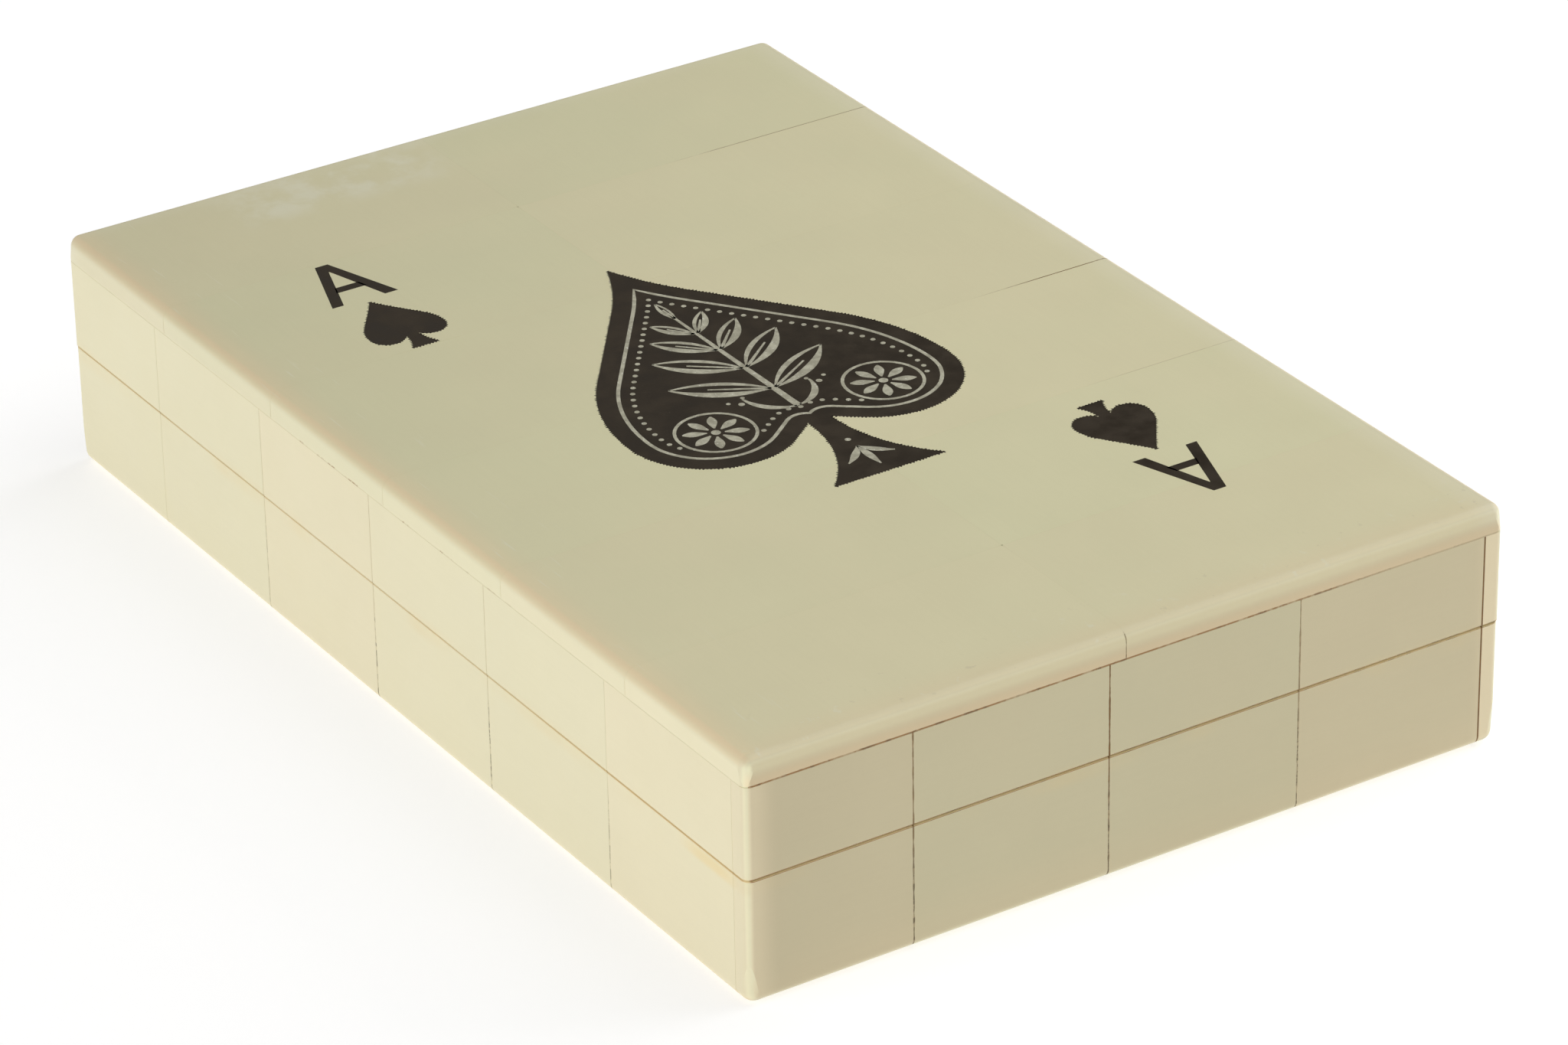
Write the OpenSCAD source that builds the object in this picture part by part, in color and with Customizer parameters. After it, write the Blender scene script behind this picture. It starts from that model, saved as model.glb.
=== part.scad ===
// Playing card box: bone tiles glued over a jointed wooden carcass that is sawn into a base and a lid.
// Two packs lie flat in the base, one on each side of a scooped divider.
// Frame: origin at the centre of the underside, +Z up, +Y towards the head of the card face on the lid,
// +X towards that face's right. The lid turns on two butt hinges along the +X side. Millimetres.

/* [Case] */
// Length of the lid, foot to head
case_length = 164; // [150:1:200]
// Width of the lid, left to right
case_width = 108; // [100:1:140]
// Height of the closed case, standing on its felt
case_height = 33; // [31:1:50]
// Height of the saw cut that parts the base from the lid
seam_height = 17; // [15:0.5:19]
// Thickness that the saw cut took away
saw_cut = 0.1; // [0.1:0.05:0.4]
// Radius of the lid's top edge, and of the balls that its corners end in
top_radius = 1.5; // [1.4:0.1:2.4]
// Radius of the lid's upright corners, below the balls
lid_corner_radius = 1.1; // [0.5:0.1:1.4]
// Radius of the base's upright corners
base_corner_radius = 1.2; // [0.5:0.1:1.4]
// Radius to which the base's upright corners widen at the bottom
foot_corner_radius = 1.6; // [1.4:0.1:2.4]
// Radius of the bottom edge
foot_radius = 1.4; // [0.6:0.1:1.4]
// Height over which the lid's corners go from the balls to their upright radius
ball_run = 2.5; // [1.5:0.5:8]
// Height over which the base's corners go from the wide radius at the bottom to their own
foot_run = 5; // [2:0.5:10]
// Flat eased along both rims at the saw cut
rim_ease = 0.1; // [0.1:0.05:0.5]
// How far the lid's tiles stand out past those of the base
lid_overhang = 0.05; // [0:0.05:0.3]

/* [Bone tiles] */
// Thickness of the side tiles of the lid
side_tile_t = 2.7; // [2.7:0.1:3.6]
// Thickness of the tiles on top of the lid
top_tile_t = 3.5; // [2.6:0.1:4.5]
// Pitch of the side tiles
side_tile_pitch = 27.5; // [18:0.5:50]
// Length of the first row of top tiles, at the head
top_first_row = 26.5; // [15:0.5:40]
// Pitch of the rows of top tiles after the first
top_tile_pitch = 28; // [18:0.5:50]
// Width of the left-hand column of top tiles
top_column_w = 52.6; // [40:0.1:70]
// Width of a glue line between tiles
glue_line = 0.16; // [0.1:0.02:0.4]
// Height of the side tiles' lower edge above the table
tile_lift = 0.3; // [0.1:0.05:0.6]

/* [Wooden carcass] */
// Thickness of the four walls
wall_t = 4.2; // [3.8:0.1:6]
// Thickness of the board in the bottom
bottom_board_t = 3.2; // [2:0.1:4]
// Thickness of the board in the lid
top_board_t = 3; // [2:0.1:4]
// Width of the rebate in the walls that takes each board
rebate_w = 2.1; // [1:0.1:3]
// Clearance round each board in its rebate
board_gap = 0.1; // [0.05:0.05:0.3]
// Height that a finger of the corner joints should have
finger_h = 5; // [4.5:0.5:6]

/* [Divider] */
// Thickness of the divider between the packs
divider_t = 4.5; // [3:0.1:8]
// How far the divider stops below the base's rim
divider_drop = 1.5; // [0.5:0.1:3]
// Depth of the housings in the side walls that take its ends
housing_depth = 1; // [0.5:0.1:1.5]
// Clearance of the divider in its housings
divider_gap = 0.05; // [0.02:0.01:0.2]
// Radius of the finger scoop in its top edge
scoop_radius = 14; // [10:0.5:20]
// Depth of the finger scoop
scoop_depth = 8; // [6:0.5:9]

/* [Felt] */
// Thickness of every felt
felt_t = 0.8; // [0.5:0.1:1.5]
// Gap between a felt's edge and what stands round it
felt_margin = 0.3; // [0.1:0.1:1]

/* [Hinges] */
// Distance of each hinge's middle from its end of the lid
hinge_inset = 32.5; // [20:0.5:50]
// Length of a hinge along its pin
hinge_length = 25; // [18:0.5:32]
// Thickness of a hinge leaf
leaf_t = 0.9; // [0.7:0.05:1.2]
// Wood left between a leaf and the inside of its wall
leaf_lip = 0.7; // [0.4:0.1:1]
// Outer radius of the knuckles
knuckle_radius = 1.6; // [1.4:0.05:1.65]
// Distance of the pin's middle outside the lid's back face
pin_offset = 1.8; // [1.75:0.05:2.5]
// Radius of the hinge pin
pin_radius = 0.77; // [0.6:0.01:0.9]
// Running clearance between the pin and its bore
pin_gap = 0.03; // [0.02:0.01:0.06]
// Number of knuckles on a hinge, an odd number
knuckle_count = 5; // [3:2:7]
// Clearance between neighbouring knuckles
knuckle_gap = 0.1; // [0.05:0.05:0.2]
// Clearance between a leaf and the knuckles of the other leaf
leaf_gap = 0.15; // [0.1:0.05:0.2]
// Clearance at the ends and back of a leaf in its mortise
mortise_gap = 0.1; // [0.05:0.05:0.3]

/* [Hinge screws] */
// Distance between the two screws of a leaf
screw_spacing = 13; // [9:0.5:14]
// Radius of the screw heads
screw_head_radius = 1.4; // [1.2:0.05:1.5]
// Radius of the screw shanks
screw_radius = 0.8; // [0.7:0.05:0.9]
// Length of the screws
screw_length = 6; // [4:0.5:8]
// Width and depth of the slot in the heads
screw_slot = 0.35; // [0.2:0.05:0.4]
// Clearance round a screw
screw_gap = 0.02; // [0.01:0.01:0.05]

/* [Card face] */
// Distance of the big spade's axis to the right of the middle of the lid
art_x = -1.7; // [-6:0.1:6]
// Distance of the big spade's widest level from the middle of the lid, towards the head
spade_y = -11; // [-20:0.5:0]
// Width of the big spade
spade_w = 46.7; // [38:0.1:52]
// Clearance between the big spade's side and a corner pip's, seen along the case
index_gap = 0.9; // [0.5:0.1:6]
// Widest level of the corner pips, above and below the card face's own middle
index_y = 35; // [30:0.5:50]
// Distance of the card face's own middle from the middle of the lid, towards the head
art_y = -2.4; // [-5:0.1:5]
// Width of a corner pip
pip_w = 10.7; // [9:0.1:11.5]
// Depth of the black filling in the bone
fill_depth = 0.45; // [0.3:0.05:1]
// How far the filling stops below the bone's surface
fill_recess = 0.03; // [0.01:0.01:0.1]

/* [Hidden] */
$fn = 48;
// Overrun of every cutter past the face it cuts
over = 1;
// Straight pieces that stand for an arc in the outline of a pip
arc_steps = 16;
// How far a turned corner stays clear of an upright corner's own rounding
corner_clearance = 0.05;

// Sides of the case, in the order in which the tiles are laid round it. Each is named by the angle
// about Z that turns what is drawn on the foot side, facing -Y, to that side.
FOOT_ANGLE = 0;
LEFT_ANGLE = -90;
HEAD_ANGLE = -180;
RIGHT_ANGLE = -270;
SIDE_ANGLES = [FOOT_ANGLE, LEFT_ANGLE, HEAD_ANGLE, RIGHT_ANGLE];

// Half sizes of the outside, of the carcass and of its hollow
lid_half_w = case_width / 2;
lid_half_l = case_length / 2;
base_half_w = lid_half_w - lid_overhang;
base_half_l = lid_half_l - lid_overhang;
base_tile_t = side_tile_t - lid_overhang;
wood_half_w = lid_half_w - side_tile_t;
wood_half_l = lid_half_l - side_tile_t;
inner_half_w = wood_half_w - wall_t;
inner_half_l = wood_half_l - wall_t;

// Levels, from the table up
wood_bottom = felt_t;
floor_z = wood_bottom + bottom_board_t;
base_rim = seam_height - saw_cut / 2;
lid_rim = seam_height + saw_cut / 2;
wood_top = case_height - top_tile_t;
ceiling_z = wood_top - top_board_t;
divider_top = base_rim - divider_drop;

// Hinges
pin_x = lid_half_w + pin_offset;
hinge_y = lid_half_l - hinge_inset;
leaf_inner_x = inner_half_w + leaf_lip;
leaf_reach = pin_x - leaf_inner_x;
screw_x = (leaf_inner_x + wood_half_w) / 2;
knuckle_length = (hinge_length - (knuckle_count - 1) * knuckle_gap) / knuckle_count;
knuckle_pitch = knuckle_length + knuckle_gap;
screw_tip_length = 2 * screw_radius;
pilot_end_gap = 0.3;

// Corner pips' middles, to each side of the big spade's axis
index_x = spade_w / 2 + index_gap + pip_w / 2;

// Proportions of the spades: the big one's as shares of its width, the corner pips' of theirs
spade_tip = 0.936 * spade_w;
spade_shoulder_angle = 36.7;
spade_shoulder_radius = 0.617 * spade_w;
spade_bend = 0.126 * spade_w;
spade_lobe_radius = 0.242 * spade_w;
spade_notch_angle = 52;
spade_neck = 0.071 * spade_w;
spade_neck_drop = 0.139 * spade_w;
spade_flare_radius = 0.471 * spade_w;
spade_foot_drop = 0.472 * spade_w;
pip_tip = 0.907 * pip_w;
pip_shoulder_angle = 35.4;
pip_shoulder_radius = 0.561 * pip_w;
pip_bend = 0.13 * pip_w;
pip_lobe_radius = 0.224 * pip_w;
pip_notch_angle = 50;
pip_neck = 0.168 * pip_w;
pip_neck_drop = 0.15 * pip_w;
pip_flare_radius = 0.467 * pip_w;
pip_foot_drop = 0.439 * pip_w;

BONE = [0.88, 0.85, 0.72];
WOOD = [0.45, 0.27, 0.15];
FELT = [0.13, 0.28, 0.18];
BRASS = [0.78, 0.62, 0.3];
BLACK = [0.16, 0.14, 0.13];

function odd_count(height, part) = 2 * floor(height / (2 * part)) + 1;

// Half size along a side, and how far that side lies from the middle
function is_end(side) = side % 180 == 0;
function along(side, half_w, half_l) = is_end(side) ? half_w : half_l;
function out(side, half_w, half_l) = is_end(side) ? half_l : half_w;

module on_side(side) rotate([0, 0, side]) children();

// Cutter that rounds the corner at the origin of a shape lying in -X, +Y
module round_cutter(r) {
    difference() {
        translate([-r, -over]) square([r + over, r + over]);
        translate([-r, r]) circle(r);
    }
}

// Cutter that takes an equal flat off a square corner at the origin
module ease_cutter() rotate(45) square(rim_ease * sqrt(2), center = true);

// Upright section through the base: rounded foot, eased rims
module base_section(half) {
    difference() {
        translate([-half, tile_lift]) square([2 * half, base_rim - tile_lift]);
        for (turn = [0, 1]) mirror([turn, 0]) {
            translate([half, tile_lift]) round_cutter(foot_radius);
            translate([half, base_rim]) ease_cutter();
        }
    }
}

// Upright section through the lid: eased rims, rounded top
module lid_section(half) {
    difference() {
        translate([-half, lid_rim]) square([2 * half, case_height - lid_rim]);
        for (turn = [0, 1]) mirror([turn, 0]) {
            translate([half, case_height]) mirror([0, 1]) round_cutter(top_radius);
            translate([half, lid_rim]) ease_cutter();
        }
    }
}

// Furthest that an upright corner reaches from an axis a given distance in from both its sides
function corner_reach(inset, radius) = (inset - radius) * sqrt(2) + radius + corner_clearance;

// Half profile that a corner of the base is turned to, about an upright axis
module base_corner_profile() {
    inset = foot_corner_radius;
    reach = corner_reach(inset, base_corner_radius);
    difference() {
        polygon([
            [0, tile_lift], [inset, tile_lift], [inset, tile_lift + foot_radius],
            [reach, tile_lift + foot_radius + foot_run], [reach, case_height], [0, case_height]
        ]);
        translate([inset, tile_lift]) round_cutter(foot_radius);
    }
}

// Half profile that a corner of the lid is turned to, about an upright axis
module lid_corner_profile() {
    inset = top_radius;
    reach = corner_reach(inset, lid_corner_radius);
    difference() {
        polygon([
            [0, 0], [reach, 0], [reach, case_height - top_radius - ball_run],
            [inset, case_height - top_radius], [inset, case_height], [0, case_height]
        ]);
        translate([inset, case_height]) mirror([0, 1]) round_cutter(top_radius);
    }
}

// Block with upright corners of one radius
module corner_prism(half_w, half_l, radius) {
    difference() {
        translate([-half_w, -half_l, 0]) cube([2 * half_w, 2 * half_l, case_height]);
        for (side = SIDE_ANGLES)
            on_side(side)
                translate([along(side, half_w, half_l), -out(side, half_w, half_l), -over])
                    linear_extrude(case_height + 2 * over) round_cutter(radius);
    }
}

// Block whose corners are turned to a half profile, given as a child, and whose sides stand clear
module turned_corners(half_w, half_l, inset) {
    core_w = half_w - inset;
    core_l = half_l - inset;
    clear_w = half_w + over;
    clear_l = half_l + over;
    translate([-clear_w, -core_l, 0]) cube([2 * clear_w, 2 * core_l, case_height]);
    translate([-core_w, -clear_l, 0]) cube([2 * core_w, 2 * clear_l, case_height]);
    for (x = [-core_w, core_w])
        for (y = [-core_l, core_l])
            translate([x, y, 0]) rotate_extrude() children();
}

module section_along_y() {
    translate([0, case_length, 0]) rotate([90, 0, 0]) linear_extrude(2 * case_length) children();
}

module section_along_x() {
    translate([-case_width, 0, 0]) rotate([90, 0, 90]) linear_extrude(2 * case_width) children();
}

module base_outline() {
    intersection() {
        corner_prism(base_half_w, base_half_l, base_corner_radius);
        section_along_y() base_section(base_half_w);
        section_along_x() base_section(base_half_l);
        turned_corners(base_half_w, base_half_l, foot_corner_radius) base_corner_profile();
    }
}

module lid_outline() {
    intersection() {
        corner_prism(lid_half_w, lid_half_l, lid_corner_radius);
        section_along_y() lid_section(lid_half_w);
        section_along_x() lid_section(lid_half_l);
        turned_corners(lid_half_w, lid_half_l, top_radius) lid_corner_profile();
    }
}

// Blanks of one side's tiles. They start where they butt behind the tiles of the side before,
// and the last one runs out over the ends of the tiles of the side after.
module tile_blanks(side, half_w, half_l, t, z0, z1) {
    run = 2 * along(side, half_w, half_l) - t;
    count = max(1, round(run / side_tile_pitch));
    on_side(side) {
        for (i = [0 : count - 1]) {
            start = i == 0 ? glue_line : i * side_tile_pitch + glue_line / 2;
            end = i == count - 1 ? run + over : (i + 1) * side_tile_pitch - glue_line / 2;
            translate([run / 2 - t / 2 - end, -out(side, half_w, half_l) - over, z0])
                cube([end - start, t + over, z1 - z0]);
        }
    }
}

module base_tiles(side) {
    color(BONE) difference() {
        intersection() {
            base_outline();
            tile_blanks(side, base_half_w, base_half_l, base_tile_t, 0, base_rim + over);
        }
        if (side == RIGHT_ANGLE) base_mortises();
    }
}

module lid_tiles(side) {
    color(BONE) difference() {
        intersection() {
            lid_outline();
            tile_blanks(side, lid_half_w, lid_half_l, side_tile_t, lid_rim - over, wood_top - glue_line);
        }
        if (side == RIGHT_ANGLE) lid_mortises();
    }
}

// Blanks of the top tiles: two columns, in rows counted from the head
module top_tile_blanks() {
    joints = max(1, round((case_length - top_first_row) / top_tile_pitch));
    first_joint = lid_half_l - top_first_row;
    split_x = top_column_w - lid_half_w;
    for (row = [0 : joints]) {
        head_joint = first_joint - (row - 1) * top_tile_pitch;
        y1 = row == 0 ? lid_half_l + over : head_joint - glue_line / 2;
        y0 = row == joints ? -lid_half_l - over : head_joint - top_tile_pitch + glue_line / 2;
        translate([-lid_half_w - over, y0, wood_top])
            cube([top_column_w + over - glue_line / 2, y1 - y0, top_tile_t + over]);
        translate([split_x + glue_line / 2, y0, wood_top])
            cube([lid_half_w - split_x + over, y1 - y0, top_tile_t + over]);
    }
}

module lid_top_tiles() {
    color(BONE) difference() {
        intersection() {
            lid_outline();
            top_tile_blanks();
        }
        at_fill_level() linear_extrude(fill_depth + over) union() {
            big_spade();
            corner_pips();
        }
    }
}

// Points along an arc, both ends included
function arc(middle, radius, from, to) = [
    for (i = [0 : arc_steps])
        let (angle = from + (to - from) * i / arc_steps)
        middle + radius * [cos(angle), sin(angle)]
];

function direction(from, to) = atan2(to[1] - from[1], to[0] - from[0]);

// Left half of a spade's outline, from the tip down to the foot of the stem. The origin is on the axis at
// the widest level. A hollow arc runs from the tip into a straight, and that into the shoulder's arc.
// Each lobe is an arc that runs tangent into a straight to the neck, and the stem flares in a hollow arc.
function left_half_spade(w, tip, shoulder_angle, shoulder_radius, bend, lobe_radius, notch_angle,
                         neck, neck_drop, flare_radius, foot_drop) =
    let (
        half = w / 2,
        normal = [-cos(shoulder_angle), sin(shoulder_angle)],
        tangent = [sin(shoulder_angle), cos(shoulder_angle)],
        shoulder_middle = [shoulder_radius - half, 0],
        shoulder_end = shoulder_middle + shoulder_radius * normal,
        bend_end = shoulder_end - (shoulder_end[0] + bend) / tangent[0] * tangent,
        to_tip = [0, tip] - bend_end,
        hollow_radius = (to_tip * to_tip) / (2 * (normal * to_tip)),
        hollow_middle = bend_end + hollow_radius * normal,
        lobe_middle = [lobe_radius - half, 0],
        lobe_end = lobe_middle + lobe_radius * [cos(notch_angle), -sin(notch_angle)],
        notch = [-neck / 2, lobe_end[1] - (lobe_end[0] + neck / 2) / tan(notch_angle)],
        flare_middle = [-neck / 2 - flare_radius, -neck_drop],
        flare_angle = asin((foot_drop - neck_drop) / flare_radius)
    )
    concat(
        arc(hollow_middle, hollow_radius, direction(hollow_middle, [0, tip]),
            direction(hollow_middle, bend_end)),
        arc(shoulder_middle, shoulder_radius, 180 - shoulder_angle, 180),
        [for (i = [1 : arc_steps]) arc(lobe_middle, lobe_radius, 180, 360 - notch_angle)[i]],
        [notch],
        arc(flare_middle, flare_radius, 0, -flare_angle)
    );

// Closed outline made of a left half that starts on the axis, and its mirror image
function both_halves(left) = concat(
    left,
    [for (i = [len(left) - 1 : -1 : 1]) [-left[i][0], left[i][1]]]
);

module big_spade() {
    translate([art_x, spade_y])
        polygon(both_halves(left_half_spade(
            spade_w, spade_tip, spade_shoulder_angle, spade_shoulder_radius, spade_bend,
            spade_lobe_radius, spade_notch_angle, spade_neck, spade_neck_drop,
            spade_flare_radius, spade_foot_drop)));
}

// The corner pips: one upright at the upper left, one upside down at the lower right
module corner_pips() {
    for (turn = [0, 180])
        translate([art_x, art_y]) rotate(turn) translate([-index_x, index_y])
            polygon(both_halves(left_half_spade(
                pip_w, pip_tip, pip_shoulder_angle, pip_shoulder_radius, pip_bend,
                pip_lobe_radius, pip_notch_angle, pip_neck, pip_neck_drop,
                pip_flare_radius, pip_foot_drop)));
}

module at_fill_level() translate([0, 0, case_height - fill_depth]) children();

module centre_spade_fill() {
    color(BLACK) at_fill_level() linear_extrude(fill_depth - fill_recess) big_spade();
}

module corner_pip_fills() {
    color(BLACK) at_fill_level() linear_extrude(fill_depth - fill_recess) corner_pips();
}

// Wall along a side of the case between two levels: the left and right walls run through to the
// corners and are notched there, the foot and head walls lie between them and finger into the notches
module carcass_wall(side, z0, z1) {
    count = odd_count(z1 - z0, finger_h);
    pitch = (z1 - z0) / count;
    a = along(side, wood_half_w, wood_half_l);
    b = out(side, wood_half_w, wood_half_l);
    on_side(side) {
        if (!is_end(side)) {
            difference() {
                translate([-a, -b, z0]) cube([2 * a, wall_t, z1 - z0]);
                for (i = [1 : 2 : count - 1]) {
                    translate([-a - over, -b - over, z0 + i * pitch])
                        cube([wall_t + over, wall_t + 2 * over, pitch]);
                    translate([a - wall_t, -b - over, z0 + i * pitch])
                        cube([wall_t + over, wall_t + 2 * over, pitch]);
                }
            }
        } else {
            translate([wall_t - a, -b, z0]) cube([2 * (a - wall_t), wall_t, z1 - z0]);
            for (i = [1 : 2 : count - 1])
                translate([-a, -b, z0 + i * pitch]) cube([2 * a, wall_t, pitch]);
        }
    }
}

// A board's blank in its rebate, or the rebate itself where gap is 0
module board_blank(z0, z1, gap) {
    half_w = inner_half_w + rebate_w - gap;
    half_l = inner_half_l + rebate_w - gap;
    translate([-half_w, -half_l, z0]) cube([2 * half_w, 2 * half_l, z1 - z0]);
}

module divider_housings() {
    half_w = inner_half_w + housing_depth;
    half_t = divider_t / 2 + divider_gap;
    translate([-half_w, -half_t, floor_z]) cube([2 * half_w, 2 * half_t, base_rim - floor_z + over]);
}

module base_wall(side) {
    color(WOOD) difference() {
        carcass_wall(side, wood_bottom, base_rim);
        board_blank(wood_bottom - over, floor_z, 0);
        if (!is_end(side)) divider_housings();
        if (side == RIGHT_ANGLE) {
            base_mortises();
            base_pilots();
        }
    }
}

module lid_wall(side) {
    color(WOOD) difference() {
        carcass_wall(side, lid_rim, wood_top);
        board_blank(ceiling_z, wood_top + over, 0);
        if (side == RIGHT_ANGLE) {
            lid_mortises();
            lid_pilots();
        }
    }
}

module base_bottom_board() color(WOOD) board_blank(wood_bottom, floor_z, board_gap);
module lid_top_board() color(WOOD) board_blank(ceiling_z, wood_top, board_gap);

module deck_divider() {
    half_length = inner_half_w + housing_depth - divider_gap;
    radius = divider_t / 2;
    color(WOOD) difference() {
        translate([-half_length, 0, 0]) rotate([90, 0, 90]) linear_extrude(2 * half_length) union() {
            translate([-radius, floor_z]) square([divider_t, divider_top - radius - floor_z]);
            translate([0, divider_top - radius]) circle(radius);
        }
        translate([0, divider_t, divider_top - scoop_depth + scoop_radius])
            rotate([90, 0, 0]) cylinder(h = 2 * divider_t, r = scoop_radius);
    }
}

module felt_sheet(x, y0, y1, z) color(FELT) translate([-x, y0, z]) cube([2 * x, y1 - y0, felt_t]);

module underside_felt() {
    half_l = wood_half_l - felt_margin;
    felt_sheet(wood_half_w - felt_margin, -half_l, half_l, 0);
}

module lid_felt() {
    half_l = inner_half_l - felt_margin;
    felt_sheet(inner_half_w - felt_margin, -half_l, half_l, ceiling_z - felt_t);
}

// Felt in the floor of one well
module well_felt() {
    felt_sheet(inner_half_w - felt_margin, divider_t / 2 + felt_margin, inner_half_l - felt_margin, floor_z);
}

// Places what is drawn round the middle of a hinge at both hinges
module at_hinges() {
    for (end = [-1, 1]) at_hinge(end) children();
}

module at_hinge(end) translate([pin_x, end * hinge_y, seam_height]) children();

module at_screws() {
    for (end = [-1, 1])
        translate([screw_x - pin_x, end * screw_spacing / 2, -saw_cut / 2]) children();
}

// Mirrors what is drawn for the base across the seam, for the lid
module for_lid() mirror([0, 0, 1]) children();

module mortise() {
    half_y = hinge_length / 2 + mortise_gap;
    translate([-leaf_reach - mortise_gap, -half_y, -saw_cut / 2 - leaf_t])
        cube([leaf_reach + mortise_gap, 2 * half_y, leaf_t + over]);
}

module base_mortises() at_hinges() mortise();
module lid_mortises() at_hinges() for_lid() mortise();

module pilots() {
    depth = screw_length + pilot_end_gap;
    at_screws() translate([0, 0, -depth]) cylinder(h = depth, r = screw_radius + screw_gap);
}

module base_pilots() at_hinges() pilots();
module lid_pilots() at_hinges() for_lid() pilots();

// One leaf with its knuckles: the base's has the first knuckle and every second one, the lid's the rest
module leaf(first) {
    other_reach = knuckle_radius + leaf_gap;
    color(BRASS) difference() {
        union() {
            difference() {
                translate([-leaf_reach, -hinge_length / 2, -saw_cut / 2 - leaf_t])
                    cube([leaf_reach, hinge_length, leaf_t]);
                for (i = [1 - first : 2 : knuckle_count - 1])
                    translate([-other_reach, knuckle_y(i) - knuckle_gap, -saw_cut / 2 - leaf_t - over])
                        cube([other_reach + over, knuckle_length + 2 * knuckle_gap, leaf_t + 2 * over]);
            }
            for (i = [first : 2 : knuckle_count - 1])
                translate([0, knuckle_y(i), 0]) rotate([-90, 0, 0])
                    cylinder(h = knuckle_length, r = knuckle_radius);
        }
        translate([0, -hinge_length / 2 - over, 0]) rotate([-90, 0, 0])
            cylinder(h = hinge_length + 2 * over, r = pin_radius + pin_gap);
        at_screws() countersink();
    }
}

function knuckle_y(i) = i * knuckle_pitch - hinge_length / 2;

module countersink() {
    cone_h = screw_head_radius - screw_radius;
    translate([0, 0, -cone_h])
        cylinder(h = cone_h, r1 = screw_radius + screw_gap, r2 = screw_head_radius + screw_gap);
    translate([0, 0, -leaf_t - over]) cylinder(h = leaf_t + over, r = screw_radius + screw_gap);
}

// Countersunk slotted screws of both leaves on one part of the case
module screws() {
    cone_h = screw_head_radius - screw_radius;
    color(BRASS) at_screws() translate([0, 0, -screw_gap]) difference() {
        rotate_extrude() polygon([
            [0, 0], [screw_head_radius, 0], [screw_radius, -cone_h],
            [screw_radius, screw_tip_length - screw_length], [0, -screw_length]
        ]);
        translate([-screw_head_radius - over, -screw_slot / 2, -screw_slot])
            cube([2 * (screw_head_radius + over), screw_slot, screw_slot + over]);
    }
}

module hinge_pin() {
    color(BRASS) translate([0, -hinge_length / 2, 0]) rotate([-90, 0, 0])
        cylinder(h = hinge_length, r = pin_radius);
}

underside_felt();
base_bottom_board();
base_wall(FOOT_ANGLE);  // base_foot_wall
base_wall(LEFT_ANGLE);  // base_left_wall
base_wall(HEAD_ANGLE);  // base_head_wall
base_wall(RIGHT_ANGLE);  // base_right_wall
deck_divider();
rotate([0, 0, 180]) well_felt();  // base_foot_felt
well_felt();  // base_head_felt
base_tiles(FOOT_ANGLE);  // base_foot_tiles
base_tiles(LEFT_ANGLE);  // base_left_tiles
base_tiles(HEAD_ANGLE);  // base_head_tiles
base_tiles(RIGHT_ANGLE);  // base_right_tiles
at_hinge(-1) leaf(0);  // hinge_foot_base_leaf
at_hinge(1) leaf(0);  // hinge_head_base_leaf
at_hinge(-1) hinge_pin();  // hinge_foot_pin
at_hinge(1) hinge_pin();  // hinge_head_pin
at_hinges() screws();  // hinge_base_screws
lid_wall(FOOT_ANGLE);  // lid_foot_wall
lid_wall(LEFT_ANGLE);  // lid_left_wall
lid_wall(HEAD_ANGLE);  // lid_head_wall
lid_wall(RIGHT_ANGLE);  // lid_right_wall
lid_top_board();
lid_felt();
lid_tiles(FOOT_ANGLE);  // lid_foot_tiles
lid_tiles(LEFT_ANGLE);  // lid_left_tiles
lid_tiles(HEAD_ANGLE);  // lid_head_tiles
lid_tiles(RIGHT_ANGLE);  // lid_right_tiles
lid_top_tiles();
centre_spade_fill();
corner_pip_fills();
at_hinge(-1) for_lid() leaf(1);  // hinge_foot_lid_leaf
at_hinge(1) for_lid() leaf(1);  // hinge_head_lid_leaf
at_hinges() for_lid() screws();  // hinge_lid_screws
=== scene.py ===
import math
import random

import bpy
from mathutils import Matrix, Vector


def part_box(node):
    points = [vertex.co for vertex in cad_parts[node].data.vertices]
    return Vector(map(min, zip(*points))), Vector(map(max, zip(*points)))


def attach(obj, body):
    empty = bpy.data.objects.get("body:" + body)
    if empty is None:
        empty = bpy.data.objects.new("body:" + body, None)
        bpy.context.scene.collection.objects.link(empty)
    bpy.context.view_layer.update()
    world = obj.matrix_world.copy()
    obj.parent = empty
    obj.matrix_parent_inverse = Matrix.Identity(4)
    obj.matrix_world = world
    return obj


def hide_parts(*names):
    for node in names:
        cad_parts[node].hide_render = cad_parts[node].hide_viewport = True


# A playing card box of bone tiles over wood, with an ace of spades inlaid in its lid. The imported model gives
# every piece its place. This script adds the finishes, the glue lines, the letters and ornament, the small
# teeth round the black figures, the felts, the light and the camera. Lengths here are in millimetres and
# become metres where a mesh is made.

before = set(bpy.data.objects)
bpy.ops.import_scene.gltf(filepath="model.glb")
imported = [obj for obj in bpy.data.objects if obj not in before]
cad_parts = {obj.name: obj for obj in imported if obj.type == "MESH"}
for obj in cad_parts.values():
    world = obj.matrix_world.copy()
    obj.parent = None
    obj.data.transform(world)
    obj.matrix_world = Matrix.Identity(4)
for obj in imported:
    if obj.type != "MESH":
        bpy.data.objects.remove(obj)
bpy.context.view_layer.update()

MM = 0.001
BASE = "base"
LID = "lid"


def box_mm(node):
    """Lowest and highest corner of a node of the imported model, in millimetres."""
    low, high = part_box(node)
    return low / MM, high / MM


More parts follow.
